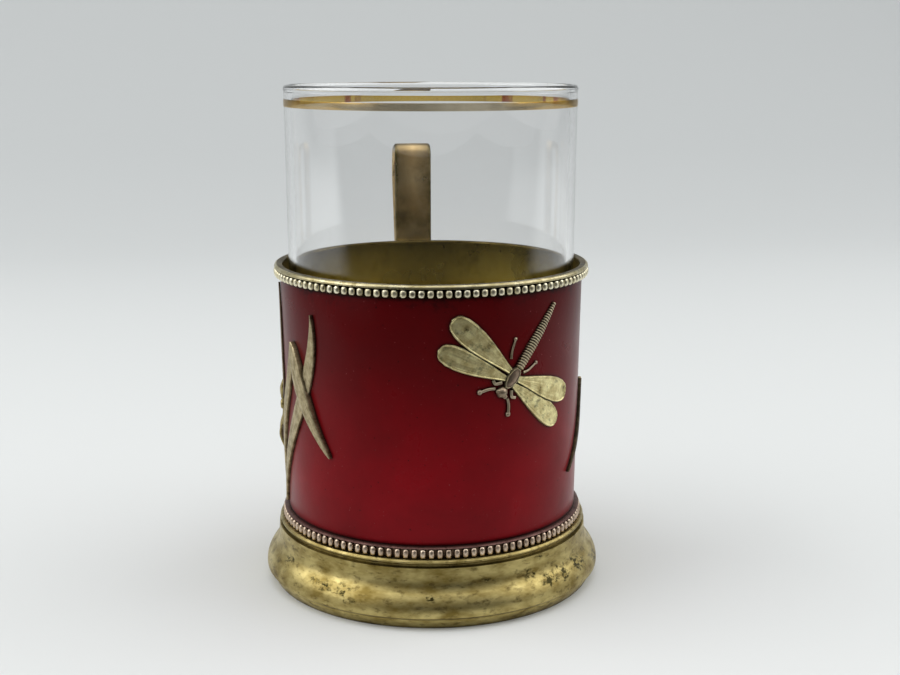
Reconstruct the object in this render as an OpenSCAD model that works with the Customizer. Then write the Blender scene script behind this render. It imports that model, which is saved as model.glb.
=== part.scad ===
// Tea glass holder with its loose glass. A thin brass sleeve carries a red
// enamel coat, a rim, two beaded wires, a spun foot and a tall strap handle.
// A dragonfly and two clumps of iris are soldered onto the enamelled wall.
// Origin at the centre of the foot's underside, +Z up, handle towards +Y.
// Places on the wall are given in degrees from the front line (-Y), positive
// towards +X, or in millimetres measured along the wall, and by their height.

/* [Sleeve] */
// Play between the bore's upper end and the lip of the glass, all round
glass_play = 1.2; // [0.8:0.1:1.6]
// Thickness of the enamel coat
enamel_t = 0.2; // [0.15:0.05:0.4]
// Thickness of the brass sleeve
sleeve_t = 0.3; // [0.25:0.05:0.6]
// How much smaller the sleeve's radius is at the foot than at the rim
wall_taper_w = 0.9; // [0.3:0.1:1.2]
// Height of the enamel coat
enamel_h = 55.4; // [52:0.1:60]
// Solder film between pieces that are joined
solder_gap = 0.04; // [0.02:0.01:0.06]

/* [Rim] */
// Height of the rim ring
rim_h = 0.9; // [0.8:0.1:1.6]
// How far the rim ring stands out from the enamel
rim_out = 1.4; // [0.9:0.1:2]
// Radius of the rounded edges of the rim ring
rim_edge_r = 0.3; // [0.2:0.05:0.35]
// Depth of the ring's seat over the top of the sleeve
rim_seat_h = 0.4; // [0.2:0.05:0.45]

/* [Beaded wires] */
// Number of beads in each beaded wire
bead_count = 118; // [90:1:124]
// Width of one bead
bead_w = 1.24; // [1:0.02:1.4]
// Height of one bead
bead_h = 1.75; // [1.5:0.05:1.9]
// How far the bead centres stand out from the face of their strip
bead_out = 0.3; // [0.2:0.05:0.4]
// How far the lower beads run up into the ledge
bead_sink = 0.15; // [0.1:0.05:0.3]
// Height of the strip behind the upper beads
upper_strip_h = 2; // [1.95:0.05:2.6]
// Height of the strip behind the lower beads
lower_strip_h = 2.6; // [2.2:0.05:3]
// Distance that the strips stand out from the enamel
strip_out = 0.6; // [0.3:0.05:0.7]
// Height of the plain ledge along the top of the lower strip
ledge_h = 0.6; // [0.4:0.05:0.7]
// Distance that the ledge stands out from the enamel
ledge_out = 1.2; // [1:0.05:1.5]

/* [Foot] */
// How far the foot's upper edge stands out from the enamel
foot_neck_out = 2.5; // [2.2:0.05:3]
// How far the foot flares out below its upper edge
foot_flare = 3.2; // [2.6:0.05:5]
// Height of the foot's upper edge above the table
foot_h = 13.3; // [13:0.1:14]
// Thickness of the spun brass of the foot
foot_wall = 0.9; // [0.7:0.05:1.2]
// How far the hem draws back from the foot's widest line
hem_inset = 0.75; // [0.5:0.05:1.3]
// Width of the hem
hem_w = 2; // [1.6:0.1:3]
// Height of the hem
hem_h = 2.35; // [2:0.05:2.6]
// How far the hem draws in at the table
hem_draw = 1; // [0.6:0.1:1.2]
// Height of the fillet wire with the groove under it
fillet_h = 1.7; // [1.4:0.05:2.2]
// How far the fillet wire stands out from the enamel
fillet_out = 2.3; // [1.9:0.05:2.6]
// How far the fillet wire's face bulges
fillet_bulge = 0.3; // [0.2:0.05:0.5]
// Height of the groove under the fillet wire
groove_h = 0.6; // [0.4:0.1:0.9]
// Depth of the groove under the fillet wire
groove_depth = 0.6; // [0.3:0.1:0.9]
// Height of the small steps at the edges of the hem
hem_step = 0.4; // [0.3:0.05:0.5]

/* [Floor] */
// Height of the floor plate's underside above the table
floor_z = 6.1; // [5.5:0.1:7]
// Thickness of the floor plate
floor_t = 0.8; // [0.6:0.1:1.2]
// Length of the sleeve below the floor plate
sleeve_skirt = 0.4; // [0.2:0.1:1]

/* [Glass] */
// Outer radius of the glass at its lip
glass_lip_r = 33.7; // [31:0.1:38]
// How much smaller the glass's radius is at its foot
glass_taper_w = 0.7; // [0:0.1:2]
// Height of the glass
glass_h = 109.6; // [98:0.1:120]
// Thickness of the glass wall
glass_t = 1.7; // [1.3:0.1:2.4]
// Thickness of the glass base
glass_base_t = 4.5; // [3:0.1:8]
// Radius of the glass's lower outer corner
glass_corner_r = 1.8; // [1:0.1:3]
// Radius of the curve inside the glass, between wall and base
glass_inner_r = 4; // [2.5:0.1:6]
// Depth of the hollow under the glass base
glass_dish = 0.6; // [0.3:0.1:1]
// Width of the ring on which the glass stands
glass_stand_w = 5; // [3:0.5:8]
// Running gap under the glass
seat_gap = 0.1; // [0.05:0.05:0.3]
// Height of the gilt band
band_h = 1.65; // [1:0.05:3]
// Distance of the band's upper edge below the lip
band_drop = 3.2; // [2:0.1:6]
// Thickness of the gilt band
band_t = 0.12; // [0.08:0.02:0.2]

/* [Handle] */
// Height of the handle above the rim
handle_rise = 25.1; // [16:0.1:32]
// How far the handle reaches out from the wall
handle_reach = 30; // [26:0.5:40]
// Thickness of the strap
strap_t = 1.5; // [1.2:0.1:2]
// Width of the strap on the rim side
strap_w = 9.7; // [7:0.1:11]
// Width of the strap at its outer corner
strap_outer_w = 6.6; // [5.6:0.1:7]
// Width of the strap at its lower end
strap_tail_w = 5.2; // [4:0.1:5.6]
// Gap between the strap and the rim ring
strap_rim_gap = 0.5; // [0.3:0.1:1]
// Height of the strap's lower end above the table
tail_z = 21; // [20:0.5:24]
// Length of the strap's lower end that lies on its pad
tail_len = 9; // [7:0.5:12]
// Height of the upper pad
upper_pad_h = 10; // [7:0.5:14]
// Gap between the strap's lower end and the wall
tail_gap = 0.9; // [0.7:0.05:1.5]
// Radius of the bend on the centre line above the rim
top_bend_r = 2.4; // [2:0.1:4]
// Radius of the outer bend on the centre line
outer_bend_r = 7; // [5:0.5:10]
// Radius of the bend halfway down the back of the handle
knee_bend_r = 14; // [10:1:18]
// Radius of the bend onto the lower pad
landing_bend_r = 3.5; // [2.5:0.5:5]
// Drop of the strap's top from the inner bend to the outer one
top_fall = 2.8; // [1:0.1:5]
// How far the pads stand out around the strap
pad_margin = 0.8; // [0.5:0.1:1.5]

/* [Dragonfly] */
// Distance of the thorax along the wall from the front line
fly_side_len = 13.55; // [11:0.05:15]
// Distance of the thorax below the enamel's upper edge
fly_drop = 18.4; // [17:0.1:21]
// Lean of the body from upright, in degrees
fly_turn = 39; // [33:1:45]
// Length of the thorax plate
thorax_len = 5.2; // [4.8:0.1:5.4]
// Width of the thorax plate
thorax_w = 3; // [2.6:0.1:3.1]
// Thickness of the thorax plate
thorax_t = 1.2; // [0.8:0.1:1.6]
// Length of the abdomen
abdomen_len = 17; // [14:0.5:18]
// Width of the abdomen at its widest
abdomen_w = 2.1; // [1.6:0.1:2.4]
// Number of rings on the abdomen
abdomen_rings = 28; // [16:1:32]
// Radius of the head
head_r = 1.3; // [1:0.05:1.4]
// Radius of an eye
eye_r = 0.5; // [0.35:0.05:0.6]
// Length of a wing
wing_len = 17.4; // [14:0.1:18]
// Width of a wing
wing_w = 5.2; // [3.6:0.1:5.6]
// Thickness of a wing
wing_t = 0.7; // [0.5:0.05:0.9]
// Width of a leg wire
leg_w = 0.5; // [0.4:0.05:0.6]
// Radius of the knob at the end of a feeler
knob_r = 0.45; // [0.35:0.05:0.5]

/* [Irises] */
// Thickness of the iris leaves
leaf_t = 0.8; // [0.6:0.05:1]
// Width of the leaves
leaf_w = 3.8; // [3:0.1:4]
// Width of the left bent leaf past its fold
left_fold_w = 4.2; // [3.4:0.1:4.4]
// Width of the right bent leaf past its fold
right_fold_w = 3; // [2.6:0.1:3.8]
// Width of the slim leaf
slim_leaf_w = 2.3; // [1.8:0.1:2.5]
// Thickness of the slim leaf
slim_leaf_t = 0.5; // [0.4:0.05:0.8]
// Width of a flower stem
stem_w = 1.3; // [1:0.1:1.5]
// Length of an iris petal
petal_len = 7.4; // [6:0.1:7.8]
// Width of an iris petal
petal_w = 3.7; // [3:0.1:4]
// Thickness of an iris petal
petal_t = 0.7; // [0.5:0.05:0.9]
// Length of the hanging petal
fall_len = 10.5; // [9:0.1:11]
// Width of the hanging petal
fall_w = 4.4; // [3.6:0.1:4.6]
// Height of the hanging petal's arch above the wall
fall_rise = 2.1; // [1.7:0.1:2.6]
// Height of the upright petals' arch above the wall
standard_rise = 1.4; // [1.2:0.1:1.8]
// Radius of the flower's heart
heart_r = 1.3; // [1.1:0.05:1.4]

/* [Hidden] */
$fn = 240;
// Overrun of every cut and of every stock body that is cut back
over = 1;

brass = "#a8945a";
gilt = "#b9a35c";
bronze = "#8d7a5e";

// Radii and heights that follow from the sizes above
glass_foot_r = glass_lip_r - glass_taper_w;
bore_r = glass_lip_r + glass_play;
bore_low_r = bore_r - wall_taper_w;
sleeve_r = bore_r + sleeve_t;
sleeve_low_r = bore_low_r + sleeve_t;
wall_r = sleeve_r + enamel_t;
wall_low_r = sleeve_low_r + enamel_t;
seat_r = sleeve_r + solder_gap;
seat_low_r = sleeve_low_r + solder_gap;
enamel_bottom_z = foot_h + fillet_h + lower_strip_h;
enamel_top_z = enamel_bottom_z + enamel_h;
fly_z = enamel_top_z - fly_drop;
rim_bottom_z = enamel_top_z + upper_strip_h;
rim_top_z = rim_bottom_z + rim_h;
rim_r = wall_r + rim_out;
fillet_r = wall_low_r + fillet_out;
foot_neck_r = wall_low_r + foot_neck_out;
foot_r = foot_neck_r + foot_flare;
hem_r = foot_r - hem_inset;
floor_top_z = floor_z + floor_t;
sleeve_bottom_z = floor_z - sleeve_skirt;
sleeve_top_z = rim_bottom_z + rim_seat_h;
lower_strip_z = enamel_bottom_z - lower_strip_h;
strip_r = wall_r + strip_out;
strip_low_r = wall_low_r + strip_out;
upper_bead_z = rim_bottom_z - bead_h / 2;
lower_bead_z = enamel_bottom_z - ledge_h + bead_sink - bead_h / 2;
ornament_r = wall_r + solder_gap;
ornament_low_r = wall_low_r + solder_gap;
glass_z = floor_top_z + seat_gap;

// Outline of the foot: height share of the foot, share of its flare
foot_outline_shares = [
    [1, 0], [0.9, 0.02], [0.8, 0.05], [0.73, 0.1], [0.67, 0.19], [0.61, 0.34], [0.56, 0.51],
    [0.5, 0.69], [0.44, 0.83], [0.38, 0.93], [0.32, 0.985], [0.26, 1], [0.22, 0.985]
];
// Outline of a dragonfly wing: length share, width share
wing_outline_shares = [
    [0, 0.14], [0.12, 0.2], [0.26, 0.29], [0.42, 0.38], [0.58, 0.46], [0.72, 0.5],
    [0.84, 0.49], [0.93, 0.4], [0.98, 0.23], [1, 0], [0.98, -0.22], [0.93, -0.38],
    [0.84, -0.46], [0.72, -0.47], [0.58, -0.43], [0.42, -0.35], [0.26, -0.26],
    [0.12, -0.18], [0, -0.14]
];
// Outline of an iris petal: length share, width share
petal_outline_shares = [
    [0, 0.16], [0.15, 0.2], [0.3, 0.27], [0.45, 0.37], [0.6, 0.46], [0.73, 0.5],
    [0.85, 0.45], [0.94, 0.3], [0.99, 0.12], [1, 0], [0.99, -0.12], [0.94, -0.3],
    [0.85, -0.45], [0.73, -0.5], [0.6, -0.46], [0.45, -0.37], [0.3, -0.27],
    [0.15, -0.2], [0, -0.16]
];
// Width of a leaf along its length: length share, width share
leaf_width_shares = [
    [0, 0.3], [0.12, 0.5], [0.3, 0.78], [0.5, 0.96], [0.65, 1], [0.78, 0.84],
    [0.88, 0.58], [0.95, 0.3], [1, 0.04]
];
// Width of the bent leaf's falling end: length share, width share
fall_width_shares = [
    [0, 0.55], [0.08, 0.8], [0.2, 1], [0.38, 1], [0.55, 0.84], [0.72, 0.58],
    [0.88, 0.34], [0.97, 0.2], [1, 0.05]
];
// Width of a stem, even all along
stem_width_shares = [[0, 1], [1, 1]];
// Corners of the thorax plate: length share, width share
thorax_outline_shares = [
    [-0.5, 0], [-0.36, 0.34], [-0.1, 0.5], [0.26, 0.42], [0.5, 0.16], [0.5, -0.16],
    [0.26, -0.42], [-0.1, -0.5], [-0.36, -0.34]
];
// Radius of the abdomen along its length: length share, radius share
abdomen_radius_shares = [[0, 0.76], [0.12, 0.9], [0.35, 1], [0.6, 0.92], [0.85, 0.62], [1, 0.36]];

// Outline of one ring of the abdomen: share of its pitch, share of its radius
ring_outline_shares = [[0, 0.84], [0.25, 1], [0.7, 1], [0.95, 0.84]];

// Roots of the wings: share of the thorax's length towards the tail, of its width across
upper_left_root_shares = [0.183, -0.617];
lower_left_root_shares = [-0.183, -0.567];
upper_right_root_shares = [0.115, 0.65];
lower_right_root_shares = [-0.202, 0.6];
// Turns of the wings from the body's length
upper_left_turn = 86.5;
lower_left_turn = 104;
upper_right_turn = -69;
lower_right_turn = -88.5;
// Places of the head and the eyes as shares of the head's radius
head_gap_share = 0.85;
eye_along_share = 1.2;
eye_across_share = 0.85;
eye_lift_share = 0.33;

// Bends of the hind legs, the hooked middle legs and the feelers on one side,
// along and across the body, as shares of the thorax's length
hind_leg_shares = [[0.577, -0.337], [0.846, -0.577], [1.327, -0.827]];
middle_leg_shares = [[-0.5, -0.26], [-0.69, -0.43], [-0.58, -0.64]];
feeler_shares = [[-0.79, -0.385], [-0.981, -0.615], [-1.298, -0.846]];
// Height of a feeler's knob over the wall, as a share of its wire's height
knob_rise_share = 1.5;

// Leaf centre lines as curve poles: degrees round the wall, height share of the enamel
left_tall_shares = [[-89.5, 0.02], [-80, 0.328], [-52.1, 0.571], [-55.4, 0.897]];
left_rise_shares = [[-97, 0.023], [-93, 0.303], [-74, 0.511], [-69.2, 0.758]];
left_fall_shares = [[-69.4, 0.762], [-64.3, 0.601], [-57, 0.45], [-47, 0.322]];
left_slim_shares = [[-86, 0.44], [-87, 0.62], [-89, 0.8], [-90, 0.973]];
left_back_shares = [[-126, 0.016], [-131, 0.296], [-121, 0.585], [-125, 0.874]];
right_rise_shares = [[104, 0.023], [100, 0.224], [92, 0.404], [79, 0.54]];
right_fall_shares = [[79.5, 0.54], [76.5, 0.449], [72, 0.314], [56.5, 0.197]];
right_tall_shares = [[116, 0.016], [115, 0.368], [98, 0.621], [103, 0.91]];
right_back_shares = [[146, 0.016], [151, 0.296], [141, 0.621], [147, 0.928]];
// Stem centre lines: degrees round the wall, height share of the flower's heart
left_stem_shares = [[-111, 0.039], [-109, 0.367], [-108, 0.716], [-102.6, 0.943]];
right_stem_shares = [[121, 0.034], [122, 0.318], [124, 0.697], [129.2, 0.943]];
// Places of the flowers' hearts: degrees round the wall, height share of the enamel
left_iris_angle = -101;
right_iris_angle = 130;
left_iris_share = 0.4134;
right_iris_share = 0.4765;
left_iris_z = enamel_bottom_z + left_iris_share * enamel_h;
right_iris_z = enamel_bottom_z + right_iris_share * enamel_h;
// Turns of the iris's flat side petals, and of its two upright petals
side_petal_turns = [-160, -20];
standard_turns = [66, 114];
curve_steps = 20;

// Radius of the enamelled wall at a height above the table
function wall_at(z) = wall_r - wall_taper_w * (enamel_top_z - z) / enamel_h;
// Turns a length along the wall into degrees
function wall_degrees(along) = along / wall_r * 180 / PI;
// Turns degrees round the wall into a length along it
function wall_length(degrees) = degrees * PI / 180 * wall_r;
// A place on the unrolled wall as seen square-on from the direction facing
function facing(p, direction) = [wall_at(p.y) * sin(wall_degrees(p.x) - direction), p.y];
// Turns a 2D place or direction by an angle
function turned(p, a) = [p.x * cos(a) - p.y * sin(a), p.x * sin(a) + p.y * cos(a)];
// A value read from a table of shares, straight between its rows
function from_shares(table, s) = lookup(s, table);
// Point and direction of a curve with four poles
function curve_point(p, t) =
    pow(1 - t, 3) * p[0] + 3 * pow(1 - t, 2) * t * p[1] + 3 * (1 - t) * t * t * p[2] + pow(t, 3) * p[3];
function curve_way(p, t) =
    let (w = pow(1 - t, 2) * (p[1] - p[0]) + 2 * (1 - t) * t * (p[2] - p[1]) + t * t * (p[3] - p[2]))
    w / norm(w);
// Outline of a leaf of the given width along a curve on the unrolled wall
function leaf_outline(poles, reach, width, shares, grow = 0) =
    let (p = [for (q = poles) [wall_length(q.x), enamel_bottom_z + q.y * reach]])
    let (side = function(s) [for (i = [0:curve_steps])
        let (t = i / curve_steps)
        let (half = width * from_shares(shares, t) / 2 + grow)
        curve_point(p, t) + s * half * [-curve_way(p, t).y, curve_way(p, t).x]])
    let (left = side(1), right = side(-1))
    concat(left, [for (i = [curve_steps:-1:0]) right[i]]);
// Outline of a petal on the unrolled wall
function petal_outline(place, length, width, turn) =
    [for (s = petal_outline_shares) place + turned([s[0] * length, s[1] * width], turn)];
// A place on the dragonfly's body, along and across it, on the unrolled wall
function on_body(p) = [fly_side_len, fly_z] + turned([p.y, p.x], -fly_turn);
// Corner of a bent strap: the arc of the given radius that rounds corner b
function bend(a, b, c, r, steps = 12) =
    let (u = (a - b) / norm(a - b), v = (c - b) / norm(c - b))
    let (half = acos(u * v) / 2)
    let (centre = b + (u + v) / norm(u + v) * r / sin(half))
    let (start = b + u * r / tan(half) - centre, side = sign(cross(u, v)))
    [for (i = [0:steps]) centre + turned(start, side * (i / steps) * (2 * half - 180))];
// Points at a distance beside a path, to its left when positive
function beside(path, distance) =
    [for (i = [0:len(path) - 1])
        let (w = path[min(i + 1, len(path) - 1)] - path[max(i - 1, 0)])
        path[i] + distance * [-w.y, w.x] / norm(w)];

// Stock for an ornament: its outline pushed through the wall, cut to a curved plate
module wall_plate(outline, direction, low, high) {
    intersection() {
        rotate([0, 0, direction])
            rotate([90, 0, 0])
                linear_extrude(height = ornament_r + high + over)
                    polygon([for (p = outline) facing(p, direction)]);
        wall_layer(low, high);
    }
}

// Curved layer of the given heights above the wall
module wall_layer(low, high) {
    difference() {
        wall_core(high);
        wall_core(low, over);
    }
}

// The enamelled wall as a solid core, grown outwards and run on past both ends
module wall_core(out = 0, run = 0) {
    run_w = wall_taper_w * run / enamel_h;
    translate([0, 0, enamel_bottom_z - run])
        cylinder(r1 = ornament_low_r + out - run_w, r2 = ornament_r + out + run_w, h = enamel_h + 2 * run);
}

// A leaf that follows its curve round the wall
module wall_leaf(poles, width, shares, thickness, low = 0, grow = 0) {
    middle = curve_point(poles, 0.5).x;
    wall_plate(leaf_outline(poles, enamel_h, width, shares, grow), middle, low, thickness);
}

// A stem that follows its curve up to the heart of its flower
module wall_stem(poles, heart_z) {
    middle = curve_point(poles, 0.5).x;
    reach = heart_z - enamel_bottom_z;
    wall_plate(leaf_outline(poles, reach, stem_w, stem_width_shares), middle, 0, stem_w / 2);
}

// The room that a flower's flat and hanging petals take up on the wall
module flower_room(angle, heart_z) {
    place = [wall_length(angle), heart_z];
    room = 2 * solder_gap;
    for (turn = side_petal_turns)
        wall_plate(petal_outline(place, petal_len + room, petal_w + 2 * room, turn), angle, -over, stem_w);
    wall_plate(
        petal_outline(place - [0, heart_r], fall_len + room, fall_w + 2 * room, -90), angle, -over, stem_w);
    at_wall(place)
        cylinder(r = heart_r + room, h = 2 * stem_w, center = true);
}

module sleeve() {
    color(brass)
        rotate_extrude()
            polygon([
                [sleeve_low_r, sleeve_bottom_z], [sleeve_low_r, enamel_bottom_z],
                [sleeve_r, enamel_top_z], [sleeve_r, sleeve_top_z],
                [bore_r, sleeve_top_z], [bore_r, enamel_top_z],
                [bore_low_r, enamel_bottom_z], [bore_low_r, sleeve_bottom_z]
            ]);
}

module enamel_coat() {
    color("#7a1016")
        rotate_extrude()
            polygon([
                [seat_low_r, enamel_bottom_z], [wall_low_r, enamel_bottom_z],
                [wall_r, enamel_top_z], [seat_r, enamel_top_z]
            ]);
}

// Rim ring: it sits over the sleeve's top edge and covers the upper beads
module rim_ring() {
    e = rim_edge_r;
    corner_steps = 5;
    color(gilt)
        rotate_extrude()
            polygon(concat(
                [[bore_r, sleeve_top_z], [seat_r, sleeve_top_z], [seat_r, rim_bottom_z]],
                [[rim_r - e / 2, rim_bottom_z], [rim_r, rim_bottom_z + e / 2]],
                [for (i = [0:corner_steps])
                    let (a = 90 * i / corner_steps)
                    [rim_r - e + e * cos(a), rim_top_z - e + e * sin(a)]],
                [for (i = [0:corner_steps])
                    let (a = 90 + 90 * i / corner_steps)
                    [bore_r + e + e * cos(a), rim_top_z - e + e * sin(a)]]));
}

// One bead, an upright barrel with round ends
module bead() {
    steps = 8;
    rotate_extrude($fn = 24)
        polygon([for (i = [0:steps])
            let (a = 180 * i / steps - 90)
            [bead_w / 2 * cos(a), bead_h / 2 * sin(a)]]);
}

// A ring of beads on its strip, pressed from one wire
module beaded_wire(bead_z, face_r, strip) {
    color(bronze)
        union() {
            rotate_extrude()
                polygon(strip);
            for (i = [0:bead_count - 1])
                rotate([0, 0, 360 * (i + 0.5) / bead_count])
                    translate([0, -face_r - bead_out, bead_z])
                        bead();
        }
}

module upper_beaded_wire() {
    beaded_wire(upper_bead_z, strip_r, [
        [seat_r, enamel_top_z], [strip_r, enamel_top_z],
        [strip_r, rim_bottom_z], [seat_r, rim_bottom_z]
    ]);
}

module lower_beaded_wire() {
    ledge_r = wall_low_r + ledge_out;
    ledge_z = enamel_bottom_z - ledge_h;
    beaded_wire(lower_bead_z, strip_low_r, [
        [seat_low_r, lower_strip_z], [strip_low_r, lower_strip_z], [strip_low_r, ledge_z],
        [ledge_r, ledge_z], [ledge_r, enamel_bottom_z], [seat_low_r, enamel_bottom_z]
    ]);
}

// Fillet wire: a rounded band over a groove, between the foot and the beads
module fillet_wire() {
    band = lower_strip_z - foot_h - groove_h;
    neck_r = fillet_r - groove_depth;
    steps = 8;
    middle_z = lower_strip_z - band / 2;
    color(gilt)
        rotate_extrude()
            polygon(concat(
                [[seat_low_r, foot_h], [neck_r, foot_h], [neck_r, foot_h + groove_h]],
                [for (i = [0:steps])
                    let (a = 180 * i / steps - 90)
                    [fillet_r - fillet_bulge + fillet_bulge * cos(a), middle_z + band / 2 * sin(a)]],
                [[seat_low_r, lower_strip_z]]));
}

// Foot: one spun shell, a hollow curve over a round one
module foot() {
    outer = [for (s = foot_outline_shares) [foot_neck_r + foot_flare * s[1], foot_h * s[0]]];
    last = len(outer) - 1;
    inner = [for (i = [last:-1:3]) [outer[i].x - foot_wall, outer[i].y]];
    color(brass)
        rotate_extrude()
            polygon(concat(
                [[seat_low_r, foot_h]], outer,
                [[hem_r, hem_h], [hem_r - foot_wall, hem_h]],
                inner,
                [[foot_neck_r - foot_wall, foot_h - foot_wall], [seat_low_r, foot_h - foot_wall]]));
}

// Hem: the thick rolled edge that the holder stands on
module foot_hem() {
    color(brass)
        rotate_extrude()
            polygon([
                [hem_r - hem_w, 0], [hem_r - hem_draw - hem_step / 2, 0], [hem_r - hem_draw, hem_step],
                [hem_r - hem_draw / 2, hem_h / 2], [hem_r - hem_step / 2, hem_h - hem_step],
                [hem_r - hem_step / 2, hem_h], [hem_r - hem_w, hem_h]
            ]);
}

module floor_plate() {
    color(brass)
        translate([0, 0, floor_z])
            cylinder(r = bore_low_r - solder_gap, h = floor_t);
}

// Corners of the handle's centre line, as distance from the axis and height
strap_in_r = rim_r + strap_rim_gap + strap_t / 2;
tail_r = wall_at(tail_z + tail_len / 2) + tail_gap + strap_t / 2;
pad_bottom_z = rim_bottom_z - upper_strip_h - upper_pad_h;
handle_top_z = rim_top_z + handle_rise - strap_t / 2;
handle_out_r = wall_r + handle_reach - strap_t / 2;
handle_drop_share = 0.45;
knee_share = 0.72;
handle_line = let (
    foot_end = [strap_in_r, pad_bottom_z],
    top = [strap_in_r, handle_top_z],
    corner = [handle_out_r, handle_top_z - top_fall],
    knee = [tail_r + (handle_out_r - tail_r) * knee_share,
            tail_z + (handle_top_z - tail_z) * handle_drop_share],
    landing = [tail_r, tail_z + tail_len],
    tail = [tail_r, tail_z])
    concat(
        [foot_end],
        bend(foot_end, top, corner, top_bend_r),
        bend(top, corner, knee, outer_bend_r),
        bend(corner, knee, landing, knee_bend_r),
        bend(knee, landing, tail, landing_bend_r),
        [tail]);

// Handle: one strap, bent in the plane behind the holder, narrower down its back
module handle_strap() {
    shoulder_r = strap_in_r + top_bend_r;
    corner_z = handle_top_z - top_fall - outer_bend_r;
    far_r = handle_out_r + strap_t + over;
    color(brass)
        intersection() {
            rotate([90, 0, 90])
                linear_extrude(height = strap_w + 2 * over, center = true)
                    polygon(concat(
                        beside(handle_line, strap_t / 2),
                        [for (i = [len(handle_line) - 1:-1:0]) beside(handle_line, -strap_t / 2)[i]]));
            union() {
                translate([-strap_w / 2, 0, pad_bottom_z - over])
                    cube([strap_w, shoulder_r, rim_top_z + handle_rise + 2 * over - pad_bottom_z]);
                translate([0, 0, corner_z])
                    linear_extrude(height = rim_top_z + handle_rise + over - corner_z)
                        polygon([
                            [-strap_w / 2, shoulder_r - solder_gap], [strap_w / 2, shoulder_r - solder_gap],
                            [strap_outer_w / 2, handle_out_r], [strap_outer_w / 2, far_r],
                            [-strap_outer_w / 2, far_r], [-strap_outer_w / 2, handle_out_r]
                        ]);
                translate([0, far_r, 0])
                    rotate([90, 0, 0])
                        linear_extrude(height = far_r - wall_low_r)
                            polygon([
                                [-strap_tail_w / 2, tail_z - over], [strap_tail_w / 2, tail_z - over],
                                [strap_outer_w / 2, corner_z + solder_gap],
                                [-strap_outer_w / 2, corner_z + solder_gap]
                            ]);
            }
        }
}

// A pad between the strap and the wall, cut to both
module handle_pad(width, low_z, height, strap_face_r) {
    color(brass)
        difference() {
            translate([-width / 2 - pad_margin, 0, low_z])
                cube([width + 2 * pad_margin, strap_face_r - solder_gap, height]);
            wall_core();
        }
}

module handle_upper_pad() {
    handle_pad(strap_w, pad_bottom_z, upper_pad_h - solder_gap, strap_in_r - strap_t / 2);
}

module handle_lower_pad() {
    handle_pad(strap_tail_w, tail_z, tail_len - pad_margin, tail_r - strap_t / 2);
}

// Places on the dragonfly's body as an outline, seen square-on at the thorax
fly_direction = wall_degrees(fly_side_len);

module dragonfly_thorax() {
    color(bronze)
        wall_plate(
            [for (s = thorax_outline_shares) on_body([s[0] * thorax_len, s[1] * thorax_w])],
            fly_direction, 0, thorax_t);
}

// A wing as a curved plate, from its root on the body
module wing(root_shares, turn, low = 0, grow = 0) {
    place = on_body([root_shares[0] * thorax_len, root_shares[1] * thorax_w]);
    way = 90 - fly_turn + turn;
    outline = [for (s = wing_outline_shares)
        place + turned([s[0] * (wing_len + grow), s[1] * (wing_w + 2 * grow)], way)];
    wall_plate(outline, wall_degrees(place.x + wing_len / 2 * cos(way)), low, wing_t + grow);
}

// A lower wing, tucked against the edge of the upper one beside it
module lower_wing(root_shares, turn, upper_root_shares, upper_turn) {
    difference() {
        wing(root_shares, turn);
        wing(upper_root_shares, upper_turn, -over, 2 * solder_gap);
    }
}

module dragonfly_upper_left_wing() {
    color(gilt)
        wing(upper_left_root_shares, upper_left_turn);
}

module dragonfly_lower_left_wing() {
    color(gilt)
        lower_wing(lower_left_root_shares, lower_left_turn, upper_left_root_shares, upper_left_turn);
}

module dragonfly_upper_right_wing() {
    color(gilt)
        wing(upper_right_root_shares, upper_right_turn);
}

module dragonfly_lower_right_wing() {
    color(gilt)
        lower_wing(lower_right_root_shares, lower_right_turn, upper_right_root_shares, upper_right_turn);
}

// Sets its children on the wall's surface at a place on the body, tail upwards
module at_body(p) {
    place = on_body(p);
    rotate([0, 0, wall_degrees(place.x)])
        translate([0, -wall_at(place.y) - solder_gap, place.y])
            rotate([0, fly_turn, 0])
                children();
}

// Abdomen: one turned and ringed rod, bedded into the wall along its length
module dragonfly_abdomen() {
    pitch = abdomen_len / abdomen_rings;
    color(bronze)
        difference() {
            at_body([(thorax_len + abdomen_len) / 2 + solder_gap, 0])
                rotate_extrude($fn = 64)
                    polygon(concat(
                        [[0, -abdomen_len / 2]],
                        [for (i = [0:abdomen_rings - 1])
                            let (along_share = (i + 0.5) / abdomen_rings)
                            let (r = abdomen_w / 2 * from_shares(abdomen_radius_shares, along_share))
                            for (s = ring_outline_shares)
                                [r * s[1], pitch * (i + s[0]) - abdomen_len / 2]],
                        [[0, abdomen_len / 2]]));
            wall_core();
        }
}

// The head as a ball half sunk into the wall
module head_ball(grow = 0) {
    at_body([-thorax_len / 2 - head_r * head_gap_share - solder_gap, 0])
        sphere(r = head_r + grow, $fn = 64);
}

module dragonfly_head() {
    color(bronze)
        difference() {
            head_ball();
            wall_core();
        }
}

module dragonfly_eyes() {
    color(bronze)
        for (side = [-1, 1])
            difference() {
                at_body([-thorax_len / 2 - head_r * eye_along_share, side * head_r * eye_across_share])
                    translate([0, -head_r * eye_lift_share, 0])
                        sphere(r = eye_r, $fn = 64);
                head_ball(solder_gap);
                wall_core();
            }
}

// A flat wire bent through places on the body; its far end may carry a knob
module body_wire(shares, side, knob = 0) {
    places = [for (p = shares) on_body(thorax_len * [p.x, side * p.y])];
    left = beside(places, leg_w / 2);
    right = beside(places, -leg_w / 2);
    difference() {
        union() {
            wall_plate(
                concat(left, [for (i = [len(right) - 1:-1:0]) right[i]]), fly_direction, -over, leg_w);
            if (knob > 0)
                at_wall(places[len(places) - 1])
                    cylinder(r = knob, h = 2 * leg_w * knob_rise_share, center = true, $fn = 24);
        }
        wall_core();
    }
}

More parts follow.
